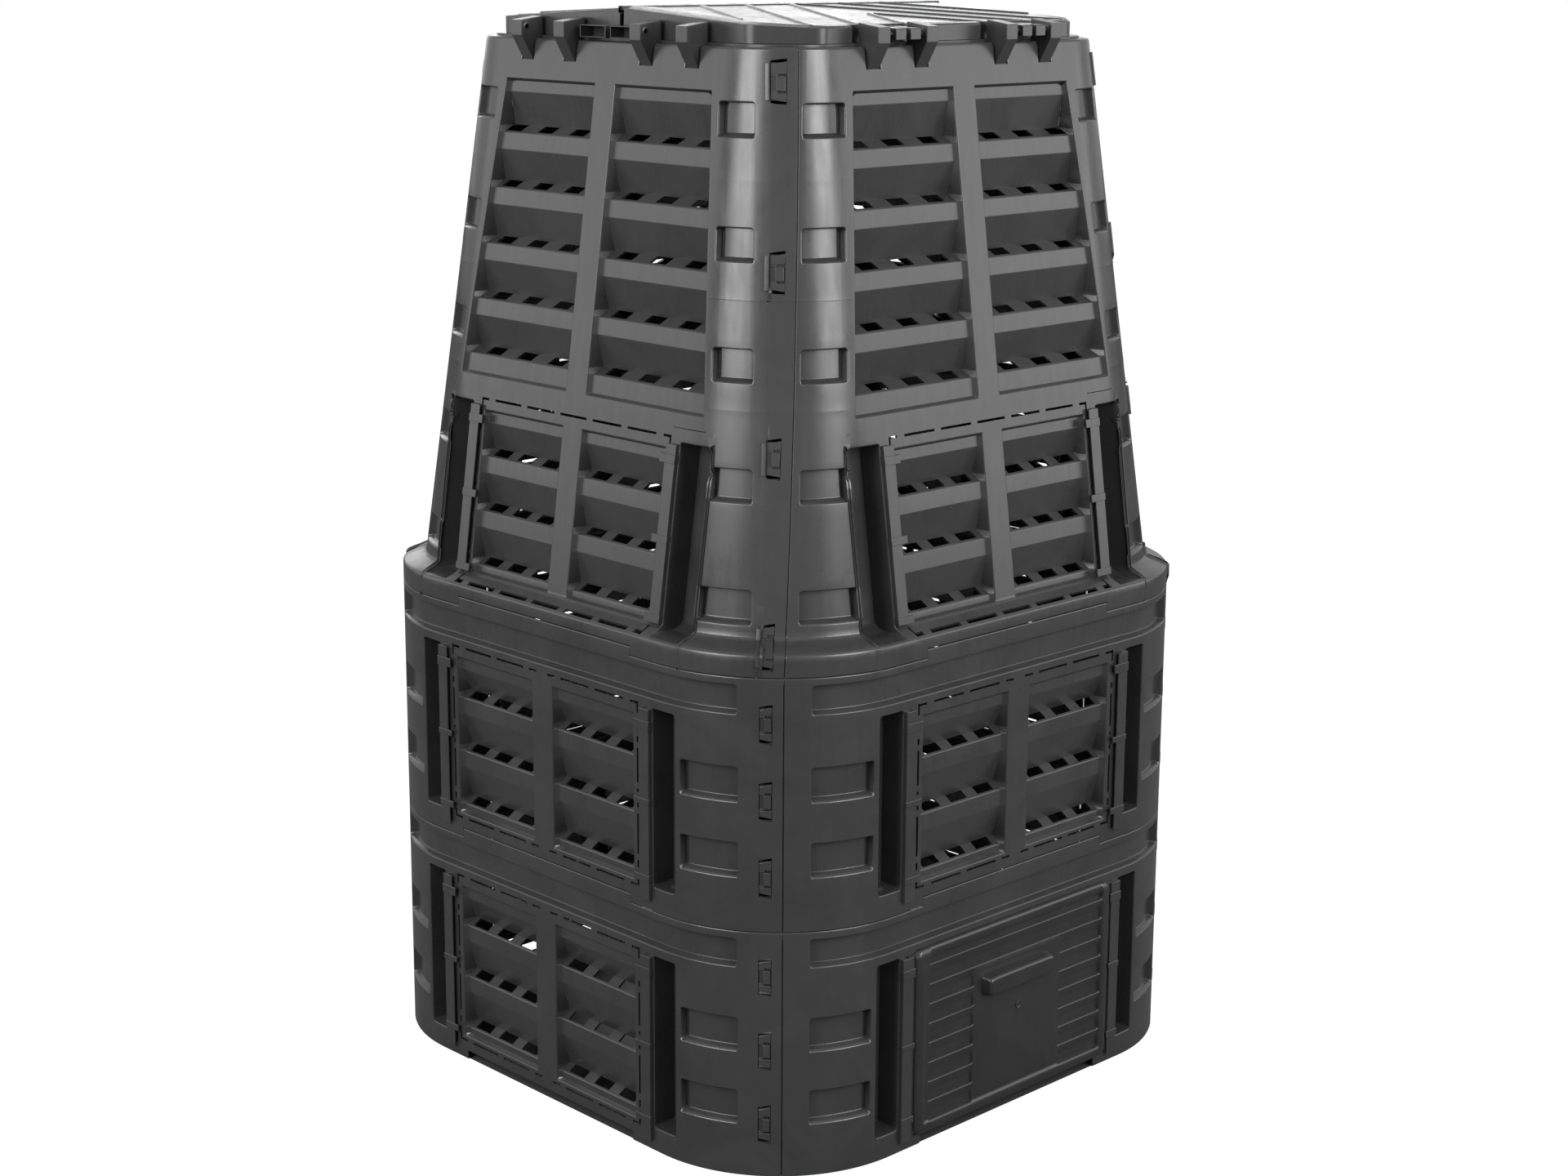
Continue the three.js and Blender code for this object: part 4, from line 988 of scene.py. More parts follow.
@dataclass
class WallPanel:
    """One moulded wall panel: its skin as grids over the unrolled face, and the fittings on it."""

    tier: Tier
    shell: Mesher = field(default_factory=Mesher)
    fittings: Mesher = field(default_factory=Mesher)
    border: float = 175.0
    notch_half: float = 159.0
    notch_height: float = 11.0
    seam_round: float = 1.4
    strip_width: float = 29.5
    strip_rise: float = 1.2
    flange_depth: float = 3.6
    flange_foot: float = 3.4
    flange_head: float = 5.0
    rim_round: float = RIM_ROUND
    head_offsets: tuple[float, ...] = RIM_OFFSETS
    slide_lines: tuple[float, ...] = ()
    slide_rise: float = 0.2
    slide_width: float = 0.8
    corner_step: float = TALL_CELL

    @property
    def skin(self) -> Skin:
        """The outer face."""
        return Skin(self.tier is Tier.UPPER)

    @property
    def foot(self) -> float:
        """Height of the foot, clear of the tier below by the gap."""
        return self.tier.foot + (0 if self.tier is Tier.LOWER else SIZES.gap)

    def seam(self, z: Array, side: int) -> Array:
        """Place of the panel's edge at a seam, clear of the next panel by the gap."""
        angle = self.skin.seam(z)
        return side * (self.skin.along(angle if side > 0 else 90 - angle, z) - SIZES.gap)

    def seam_lines(self, z: Array, side: int) -> list[Array]:
        """Upright lines along the seam, the clips, and the raised strip or the flange of one end.

        Args:
            z: heights.
            side: -1 for the left end and +1 for the right.

        Returns:
            The lines' places along the face.
        """
        seam = self.seam(z, side)
        lines = [seam - side * inset for inset in (0.0, 0.1, 0.5, self.seam_round)]
        if side < 0:
            return [*lines, seam - 0.4, seam - 1.2, -self.skin.along(SIZES.flange_end, z),
                    *self.clips[0].hook(self.skin, z)]
        near, far = self.clips[0].window(self.skin, z)
        strip = [seam - self.strip_width + inset for inset in (0.0, 0.5, 1.5, 2.0)]
        return [*lines, near, far, near - 2.0, far + 2.0, *(strip if self.skin.tapered else [])]

    def end_depth(self, s: Array, z: Array, side: int) -> Array:
        """Depth near one end.

        On the right it is the rounded seam edge, and on the tapered tier a raised strip along it. On the
        left it is the rounded seam edge and the flange behind the next panel.

        Args:
            s: places along the face.
            z: heights.
            side: -1 for the left end and +1 for the right.

        Returns:
            The depth at each point.
        """
        inside = side * (self.seam(z, side) - s)
        depth = edge_round(inside, self.seam_round)
        if side > 0:
            raised = self.strip_rise * held((self.strip_width - 1 - inside) / EASE)
            return depth - raised if self.skin.tapered else depth
        return np.maximum(self.flange_depth * held(-inside / 1.2), np.where(inside > 0, depth, 0))

    def end_keep(self, s: Array, z: Array, side: int) -> Array:
        """Which cells of one end are there: none in the clips' cuts, and the flange only between its ends.

        Args:
            s: places along the face.
            z: heights.
            side: -1 for the left end and +1 for the right.

        Returns:
            Whether each cell is there.
        """
        keep = ~np.any([clip.cut(self.skin, s, z, side) for clip in self.clips], axis=0)
        if side > 0:
            return keep
        flange = (z > self.foot + self.flange_foot) & (z < self.head - self.flange_head)
        return keep & ((s > self.seam(z, side)) | flange)

    def warped(self, s: Array, z: Array, side: int) -> Array:
        """The grid's heights at the right end, spread where the clip windows have slanted edges.

        Args:
            s: places along the face.
            z: heights.
            side: -1 for the left end and +1 for the right.

        Returns:
            The new heights.
        """
        if side < 0:
            return z
        near, far = self.clips[0].window(self.skin, z)
        spread = sum(clip.warp((s - near) / (far - near), z) for clip in self.clips)
        return z + spread * (np.abs(z - self.head) > 1)

    def rim_depth(self, s: Array, z: Array) -> Array:
        """Depth of the rounded foot and head edges; the notch at the foot and the tongue have their own.

        Args:
            s: places along the face.
            z: heights.

        Returns:
            The depth at each point.
        """
        middle = np.abs(s) < self.notch_half
        foot = np.where(middle, self.foot + self.notch_height, self.foot)
        head = np.where(middle, self.tongue_head, self.head)
        return np.maximum(edge_round(z - foot), edge_round(head - z, self.rim_round))

    def rim_levels(self) -> list[float]:
        """Heights that every grid needs for the rounded foot and head edges."""
        return [self.foot + t for t in RIM_OFFSETS] + [self.head - t for t in self.head_offsets]

    def mould_lines(self, z: Array) -> Array:
        """How far the faint lines of the mould's slides stand proud: a tent over each of them."""
        tents = [held(1 - np.abs(z - line) / self.slide_width) for line in self.slide_lines]
        return self.slide_rise * np.max([np.zeros_like(z), *tents], axis=0)

    def low_part(self, head: float) -> None:
        """Adds the grid between the guide strips, from the foot up.

        Args:
            head: the height at which it ends.
        """
        notch = self.foot + self.notch_height
        marks = [*self.common_levels(), *[notch + t for t in RIM_OFFSETS], *self.opening.marks()]
        across = [-self.border, self.border, *self.opening.lines()]
        across += [side * (self.notch_half + t) for side in ENDS for t in (-SIZES.gap, 0.0)]
        s, z, sc, zc = face_grid(levels(self.foot, head, marks, TALL_CELL), across, WIDE_CELL)
        depth = np.maximum(self.face_depth(s, z), self.opening.dent(s, z))
        keep = (zc > notch) | (np.abs(sc) > self.notch_half)
        keep &= (zc < self.head) | (np.abs(sc) < self.notch_half - SIZES.gap)
        self.shell.surface(self.skin.place(s, depth, z), keep & ~self.opening.holes(sc, zc))

    def end(self, side: int, low: float, high: float) -> None:
        """Adds the grid from a guide strip round the corner to the seam, between two heights.

        Args:
            side: -1 for the left end and +1 for the right.
            low: lowest height.
            high: highest height.
        """
        channels, pockets, clips = (
            [item for item in group if low < item.foot and item.head < high]
            for group in ((self.channel,), self.pockets, self.clips))
        marks = [line + turn * self.slide_width for line in self.slide_lines for turn in (-1, 0, 1)]
        for feature in (*channels, *pockets, *clips):
            marks += feature.marks()
        height = levels(low, high, [*self.common_levels(), *marks], self.corner_step)
        border = self.outer_border(height)
        across = [side * border, *self.seam_lines(height, side), *self.band_lines(height, side)]
        for channel in channels:
            across += channel.lines(side)
        across += pockets[0].lines(side, *self.pocket_ends(height, side))
        s, z, sc, zc = face_grid(height, across, CORNER_CELL)
        reach = np.abs(s)
        depth = np.maximum(self.face_depth(s, z), self.end_depth(s, z, side))
        depth = np.where(reach > border + 2, depth - self.mould_lines(z), depth)
        for channel in channels:
            depth = np.maximum(depth, channel.dent(reach, z))
        for pocket in pockets:
            dent = pocket.dent(reach, z, *self.pocket_ends(z, side))
            depth = np.where(dent > 0, np.maximum(depth, dent), depth)
        self.shell.surface(self.skin.place(s, depth, self.warped(s, z, side)), self.end_keep(sc, zc, side))

    def model(self) -> None:
        """Adds everything of this panel."""
        self.middle()
        for side in ENDS:
            for low, high in zip(self.splits[:-1], self.splits[1:]):
                self.end(side, low, high)
        for side in ENDS:
            self.strip.add(self.fittings, self.skin, side)
        for clip in self.clips:
            clip.add_hook(self.fittings, self.skin)
            if self.skin.tapered:
                clip.add_bar(self.fittings, self.skin)


@dataclass
class StraightPanel(WallPanel):
    """A panel of the two straight tiers, with two low windows or the hatch opening; heights are rises."""

    hatch: bool = False
    band_foot: float = 253.0
    band_head: float = 285.8
    band_lip: float = 3.0
    band_depth: float = 8.6
    pocket_start: float = 241.0
    left_angle: float = 32.9
    right_angle: float = 31.7
    right_band_angle: float = 31.3
    fronts: tuple[float, ...] = (177.0, 109.0, 41.0)
    slits: Spans = ((231.0, 244.5), (196.0, 203.5), (148.0, 189.0), (136.5, 141.0), (118.5, 124.0),
                    (63.0, 111.0), (46.0, 55.0), (24.0, 34.0))
    clip_rows: Spans = ((41.4, 86.9), (131.5, 176.1), (220.5, 264.5))
    pocket_rows: Spans = ((67.6, 103.7), (155.6, 191.5))
    sleeves: Spans = ((215.0, 226.3), (127.2, 134.4), (35.0, 43.3))

    def __post_init__(self) -> None:
        """Works out the heights, the features and the opening."""
        foot = self.foot
        self.head = self.tier.foot + SIZES.tier
        self.tongue_head = self.head + self.notch_height - SIZES.gap
        self.splits = (foot, self.head)
        self.clips = [Clip(*span) for span in lifted(self.clip_rows, self.tier.foot)]
        self.pockets = [Pocket(*span) for span in lifted(self.pocket_rows, foot)]
        self.channel = Channel(near=197.5, far=233.0, foot=foot + 29.5, head=foot + 241)
        sheet = Louvres(near=19.0, foot=foot + 31, head=foot + 229, fronts=tuple(foot + z for z in self.fronts))
        dashes = DashFrame(reach=172.0, foot=foot + 24.5, head=foot + 242.5, first_slit=(10.0, 24.0),
                           uprights=lifted(self.slits, foot))
        windows = LowWindows(sheet, dashes, far=164.0)
        self.opening = HatchOpening(foot=foot + 30, head=foot + 228) if self.hatch else windows
        # Beside the hatch the sleeves stop short of the door.
        self.strip = GuideStrip(inner=179.0, foot=foot + 12.7, head=foot + 240,
                                sleeves=lifted(self.sleeves, foot), sleeve_reach=2.6 if self.hatch else 8.0)

    def band_angle(self, side: int) -> float:
        """Angle on the corner at which the band groove ends."""
        return self.right_band_angle if side > 0 else self.left_angle

    def band_lines(self, z: Array, side: int) -> list[Array]:
        """Upright lines along the end of the band groove."""
        return edge(side * self.skin.along(self.band_angle(side), z), -side, rounded=True)

    def face_depth(self, s: Array, z: Array) -> Array:
        """Depth of the rims and of the band groove, which has a flat floor and a sloping lower lip.

        Args:
            s: places along the face.
            z: heights.

        Returns:
            The depth at each point.
        """
        left, right = (side * self.skin.along(self.band_angle(side), z) for side in ENDS)
        rise = z - self.foot
        wall = recess(within(s, rise, left, right, self.band_foot, self.band_head, CORNER), self.band_depth)
        band = np.minimum(wall, ramp(rise - self.band_foot, self.band_lip) * self.band_depth)
        return np.maximum(band, self.rim_depth(s, z))

    def common_levels(self) -> list[float]:
        """Heights that every grid of this panel needs."""
        foot = self.band_foot
        rises = [*edge(self.band_head, -1, rounded=True), *ramp_marks(foot, foot + self.band_lip), foot - LIP]
        tongue = [self.tongue_head - t for t in RIM_OFFSETS]
        return [*[self.foot + rise for rise in rises], *self.rim_levels(), *tongue]

    def outer_border(self, z: Array) -> Array:
        """Outer edge of the grid between the guide strips."""
        return np.full_like(z, self.border)

    def pocket_ends(self, z: Array, side: int) -> tuple[Array, Array]:
        """Near and far end of the corner pockets along the face."""
        angle = self.right_angle if side > 0 else self.left_angle
        return np.full_like(z, self.pocket_start), self.skin.along(angle, z)

    def middle(self) -> None:
        """Adds the grid between the guide strips."""
        self.low_part(self.tongue_head)


@dataclass
class TaperedPanel(WallPanel):
    """A panel of the tapered tier: two low and two tall windows, and the hinge posts on its rim."""

    rim_round: float = 2.2
    head_offsets: tuple[float, ...] = (0.0, 0.16, 0.7, 2.2)
    slide_lines: tuple[float, ...] = (736.0, 876.0, 996.5, 1125.5)
    corner_step: float = 12.0
    split: float = 850.0
    tall_foot: float = 866.0
    tall_head: float = 1219.5
    tall_foot_edge: float = 219.5
    tall_head_edge: float = 181.0
    tall_border: float = 4.0
    slot_margin: float = 4.2
    pocket_heads: tuple[float, ...] = (680.0, 812.0, 943.0, 1074.0, 1208.0)
    pocket_height: float = 33.0
    pocket_starts: Spans = ((665.0, 238.0), (800.0, 238.0), (931.0, 224.0), (1062.0, 212.0), (1197.0, 196.0))
    right_margin: float = 30.0
    left_margin: float = 24.0
    slits: Spans = ((827.0, 840.0), (800.0, 807.0), (746.0, 789.0), (733.0, 740.0), (702.0, 716.0),
                    (654.0, 693.0), (643.0, 648.0), (618.0, 626.0))
    clip_rows: Spans = ((600.0, 644.0), (803.0, 847.0), (1004.0, 1050.0), (1208.0, 1256.0))
    sleeves: Spans = ((810.0, 820.0), (720.0, 729.0), (630.0, 639.0))
    post_places: tuple[float, ...] = (-145.5, -67.5, 67.5, 145.5)
    post_half: float = 9.5
    post_foot: float = 1243.0
    slot_end: float = 11.2
    slot_roll: float = 6.0
    slot_fade: float = 20.0
    hole_radius: float = 3.0
    hole_depth: float = 8.0
    ring_crest: float = 4.3
    ring_foot: float = 5.0
    ring_proud: float = 0.6
    shelf: Spans = ((2.9, 1264.5), (24.0, 1264.5), (24.0, 1271.3), (12.0, 1271.3), (12.0, 1267.9), (2.9, 1267.9))
    shelf_inset: float = 0.5
    shelf_steps: int = 16
    hinge_posts: Mesher = field(default_factory=Mesher)

    def __post_init__(self) -> None:
        """Works out the heights, the features and the opening."""
        self.head = self.tongue_head = SIZES.rim
        self.splits = (self.foot, self.split, self.head)
        self.clips = [Clip(*span) for span in self.clip_rows]
        self.pockets = [Pocket(head - self.pocket_height, head, lip_drop=2.6) for head in self.pocket_heads]
        self.channel = Channel(near=188.5, far=236.0, foot=self.foot + 27.0, head=self.foot + 242.0)
        sheet = Louvres(near=18.0, foot=629.0, head=824.5, fronts=(769.0, 703.0, 637.0))
        dashes = DashFrame(reach=171.0, foot=619.6, head=838.5, first_slit=(0.0, 24.0), uprights=self.slits)
        self.opening = LowWindows(sheet, dashes, far=165.0)
        self.strip = GuideStrip(inner=170.0, foot=self.foot + 40.0, head=self.foot + 240.0,
                                sleeves=self.sleeves)

    def tall_edge(self, z: Array) -> Array:
        """Outer edge of the tall windows, straight between its places at their foot and their head."""
        share = (z - self.tall_foot) / (self.tall_head - self.tall_foot)
        return self.tall_foot_edge + (self.tall_head_edge - self.tall_foot_edge) * share

    def outer_border(self, z: Array) -> Array:
        """Outer edge of the grid with the windows."""
        return np.full_like(z, self.border) if z[0] < self.split else self.tall_edge(z) + self.tall_border

    def pocket_ends(self, z: Array, side: int) -> tuple[Array, Array]:
        """Near and far end of the corner pockets: straight between measured rows, and clear of the edge."""
        near = np.interp(z, *zip(*self.pocket_starts))
        return near, self.skin.along(45.0, z) - (self.right_margin if side > 0 else self.left_margin)

    def band_lines(self, z: Array, side: int) -> list[Array]:
        """Upright lines of a band groove, which this tier doesn't have."""
        return []

    def face_depth(self, s: Array, z: Array) -> Array:
        """Depth of the rims."""
        return self.rim_depth(s, z)

    def common_levels(self) -> list[float]:
        """Heights that every grid of this panel needs."""
        shoulder = np.linspace(self.foot + SIZES.band_end, self.foot + SIZES.shoulder_end, 9)
        return [*self.rim_levels(), *shoulder.tolist()]

    def beside_posts(self, s: Array) -> Array:
        """Distance from the slots beside the nearest hinge post, negative behind the post."""
        return np.min([np.abs(s - place) for place in self.post_places], axis=0) - self.slot_end

    def middle(self) -> None:
        """Adds the grids with the low and the tall windows."""
        self.low_part(self.split)
        self.tall_windows()

    def tall_windows(self) -> None:
        """Adds the grid with the tall windows; its outer lines lean with the windows' edges."""
        sheet = Louvres(near=18.5, foot=self.tall_foot, head=self.tall_head,
                        fronts=(1156.0, 1090.0, 1022.5, 955.5, 889.0),
                        slots=((39.0, 66.5), (97.5, 125.0), (156.0, 183.5)), ledge_depth=15.0)
        foot, head = self.post_foot, self.head
        marks = [*self.common_levels(), *sheet.marks(), foot, foot + 1.0]
        marks += [head - below for below in (6.0, 13.0, self.slot_fade)]
        height = levels(self.split, head, marks, TALL_CELL)
        outer = self.tall_edge(height)
        reaches = [self.slot_end + t for t in (0.0, 0.1, 0.4, 1.4, 2.6, 4.2, self.slot_roll)]
        reaches.append(self.post_half + 0.1)
        end, bound = outer + self.tall_border, outer - self.slot_margin
        across = [-end, end, *sheet.lines(outer)]
        across += [np.clip(place, -bound, bound) for place in sheet.slot_columns()]
        across += [place + turn * reach for place in self.post_places for turn in ENDS for reach in reaches]
        s, z, sc, zc = face_grid(height, across, WIDE_CELL)
        beside, gap = self.beside_posts(s), self.beside_posts(sc)
        depth = np.maximum(self.rim_depth(s, z), sheet.dent(s, z, self.tall_edge(z)))
        depth = np.maximum(depth, edge_round(beside, self.seam_round) * held(z - foot))
        lowered = z - edge_round(beside, self.slot_roll) * held((z - head) / self.slot_fade + 1)
        slots = (gap < 0) & (gap > self.post_half - self.slot_end) & (zc > foot)
        self.shell.surface(self.skin.place(s, depth, lowered), ~sheet.holes(sc, zc) & ~slots)

    def rim_shelf(self) -> None:
        """Adds the shelf behind the rim with the seat of the lid, its outline carried round the rim."""
        z = np.array([SIZES.rim])
        flat = float(self.skin.axis(z)[0])
        left, right = (side * (float(self.skin.along(angle, z)[0]) - self.shelf_inset)
                       for side, angle in zip(ENDS, (90 - SIZES.rim_seam, SIZES.rim_seam)))
        steps = self.shelf_steps
        s = np.concatenate([np.linspace(left, -flat, steps), np.linspace(flat, right, steps)])[:, None]
        depth, height = np.array(self.shelf).T
        self.fittings.solid(Skin.wrap(s, depth, height, SIZES.rim_half, SIZES.rim_axis))

    def posts(self) -> None:
        """Adds the four hinge posts.

        A post's outline is given round its pin hole: along each ray it is the least distance to the straight
        edges. Its rings run from the hole's bottom over the raised ring and one rounded side face to the
        other.
        """
        half, foot = -SIZES.rim_half, self.post_foot
        corners = np.array([(half - 19.3, 1289.5), (half - 19.3, 1272.0), (half - 2.2, foot),
                            (half + 1.0, foot), (half + 12.7, 1250.0), (half + 12.7, 1293.7)])
        hole = np.array([-SIZES.pin_reach, SIZES.pin_height])
        along = np.roll(corners, -1, axis=0) - corners
        normal = np.stack([along[:, 1], -along[:, 0]], axis=1) / np.linalg.norm(along, axis=1)[:, None]
        distance = ((corners - hole) * normal).sum(axis=1)
        normal, distance = normal * np.sign(distance)[:, None], np.abs(distance)
        angles = np.arctan2(*(corners - hole).T[::-1]) % (2 * np.pi)
        angles = np.sort(np.concatenate([angles, np.linspace(0, 2 * np.pi, 29)[:-1]]))
        rays = np.stack([np.cos(angles), np.sin(angles)], axis=1)
        facing = rays @ normal.T

        def outline(inset: float) -> Array:
            """Reach of the outline along each ray, moved in by an inset."""
            return np.where(facing > 1e-6, (distance - inset) / np.maximum(facing, 1e-6), np.inf).min(axis=1)

        circle = np.ones(len(angles))
        rounds = ((0.0, 1.0), (0.134, 0.5), (0.5, 0.134), (1.0, 0.0))
        for place, turn in zip(self.post_places, (1, -1, 1, -1)):
            near, far = place + turn * self.post_half, place - turn * self.post_half
            raised = near + turn * self.ring_proud
            steps = [(near - turn * self.hole_depth, circle * self.hole_radius),
                     (raised, circle * self.hole_radius), (raised, circle * self.ring_crest),
                     (near, circle * self.ring_foot)]
            steps += [(near - turn * deep, outline(inset)) for deep, inset in rounds]
            steps += [(far + turn * deep, outline(inset)) for deep, inset in rounds[::-1]]
            places, reaches = zip(*steps)
            self.hinge_posts.carried(places, [hole + rays * reach[:, None] for reach in reaches])

    def model(self) -> None:
        """Adds everything of this panel."""
        super().model()
        self.rim_shelf()
        self.posts()


@dataclass
class HatchDoor:
    """The sliding hatch: a thick rounded rim, a sunk field with stepped grooves, a raised plate and a handle.

    The grooves' rows run between the two groove ends; from the third row on they leave out the part between
    the two gap ends, round the plate.
    """

    half: float = 175.0
    foot: float = 14.0
    head: float = 245.0
    proud: float = 8.0
    field_proud: float = 5.8
    edge_proud: float = 1.3
    wall: float = 1.2
    flange_half: float = 186.0
    flange_inset: float = 4.0
    flange_proud: tuple[float, float] = (3.3, 0.45)
    first: float = 225.0
    pitch: float = 24.4
    rows: int = 9
    full_rows: int = 2
    roll: float = 11.0
    roll_power: float = 2.6
    fall: float = 7.0
    roll_lines: tuple[float, ...] = (0.0, 0.15, 0.6, 1.4, 2.5, 4.0, 6.0, 8.5, 11.0, 13.0, 14.5, 16.0, 18.0)
    row_cell: float = 6.0
    column_cell: float = 14.0
    groove: Spans = ((-2.8, 0.0), (-2.1, 0.12), (-1.4, 0.5), (-0.8, 1.3), (0.0, 4.2), (1.0, 4.6))
    groove_top: float = 2.0
    groove_ends: tuple[float, float] = (-152.0, 160.0)
    gap_ends: tuple[float, float] = (-75.0, 81.0)
    plate: tuple[float, float] = (-68.0, 73.0)
    plate_foot: float = 19.0
    plate_inset: float = 4.0
    plate_rise: float = 0.5
    fade: float = 2.0
    dot: tuple[float, float] = (5.0, 130.0)
    dot_steps: Spans = ((5.0, 5.0), (7.3, 5.0), (7.3, 3.6), (6.9, 3.2))
    handle_half: float = 60.0
    handle_shift: float = -1.5
    face: Mesher = field(default_factory=Mesher)
    body: Mesher = field(default_factory=Mesher)

    @property
    def plate_ends(self) -> tuple[float, float]:
        """Foot and head of the raised plate."""
        return self.foot + self.plate_foot, self.first - self.pitch - self.plate_inset

    def inside(self, s: Array, z: Array) -> Array:
        """Signed distance inside the door's outline."""
        return within(s, z, -self.half, self.half, self.foot, self.head, self.roll)

    def rise(self, s: Array, z: Array) -> Array:
        """How far the door stands in front of the wall.

        The rim is a roll, a superellipse outside and a softer fall inside. The field's groove rows each lean
        back on the way down and step out over a rounded lip at their lower edge.

        Args:
            s: places along the face.
            z: heights.

        Returns:
            The rise at each point.
        """
        inside, power = self.inside(s, z), self.roll_power
        roll = (1 - (1 - held(inside / self.roll)) ** power) ** (1 / power)
        rise = self.edge_proud + (self.proud - self.edge_proud) * roll
        rise -= (self.proud - self.field_proud) * smooth((inside - self.roll) / self.fall)
        rise += self.plate_rise * held(within(s, z, *self.plate, *self.plate_ends))
        (left, right), (gap_left, gap_right) = self.groove_ends, self.gap_ends
        full = held(np.minimum(s - left, right - s) / self.fade)
        beside = np.minimum(full, held(np.maximum(gap_left - s, s - gap_right) / self.fade))
        places, depths = zip(*self.groove, (self.pitch - self.groove_top, 0.0))
        for row in range(self.rows):
            sunk = np.interp(z - self.first + row * self.pitch, places, depths)
            rise -= sunk * (full if row < self.full_rows else beside)
        return np.maximum(rise, self.edge_proud)

    def model(self) -> None:
        """Builds the door's face and its solid parts: the flange in the rails, the handle, the gate mark."""
        roll = self.roll_lines
        plate_foot, plate_head = self.plate_ends
        marks = [plate_foot, plate_foot + 1, plate_head, plate_head - 1]
        marks += [end - side * t for side, end in zip(ENDS, (self.foot, self.head)) for t in roll]
        for row in range(self.rows):
            low = self.first - row * self.pitch
            marks += [low + self.pitch - self.groove_top, *[low + place for place, _ in self.groove]]
        across = [side * (self.half - t) for side in ENDS for t in roll]
        spans = ((self.groove_ends, self.fade), (self.gap_ends, -self.fade), (self.plate, 1.0))
        for (left, right), fade in spans:
            across += [left, left + fade, right - fade, right]
        height = levels(self.foot, self.head, marks, self.row_cell)
        s, z, sc, zc = face_grid(height, across, self.column_cell)
        self.face.surface(Skin(False).place(s, -self.rise(s, z), z), self.inside(sc, zc) > 0)
        front, inset = -SIZES.half, self.flange_inset
        face, back = (front - proud for proud in self.flange_proud)
        flange = rectangle(face, back, self.foot + inset, self.head - inset)
        self.body.carried((-self.flange_half, self.flange_half), [flange] * 2)
        self.handle()
        turn = np.linspace(0, 2 * np.pi, 17)[:-1]
        circle = np.stack([np.cos(turn), np.sin(turn)], axis=1)
        self.body.carried([front - proud for proud, _ in self.dot_steps],
                          [np.array(self.dot) + radius * circle for _, radius in self.dot_steps], 1)

    def handle(self) -> None:
        """Adds the handle: a superellipse of places and heights, carried forwards as it narrows."""
        turn = np.linspace(0, 2 * np.pi, 33)[:-1]
        cos, sin = np.cos(turn), np.sin(turn)
        x, z = np.sign(cos) * np.abs(cos) ** 0.18, np.sign(sin) * np.abs(sin) ** 0.35
        steps = ((4.0, 1.0, 157.0, 187.0), (15.6, -1.5, 160.0, 184.5), (17.5, -2.0, 160.5, 184.0),
                 (19.1, -3.0, 161.6, 182.9), (19.8, -4.6, 163.2, 181.3), (20.0, -6.5, 165.0, 179.5))
        outlines = []
        for _, grow, low, high in steps:
            across = x * (self.handle_half + grow) + self.handle_shift
            outlines.append(np.stack([across, (low + high) / 2 + z * (high - low) / 2], axis=1))
        self.body.carried([-SIZES.half - step[0] for step in steps], outlines, 1)


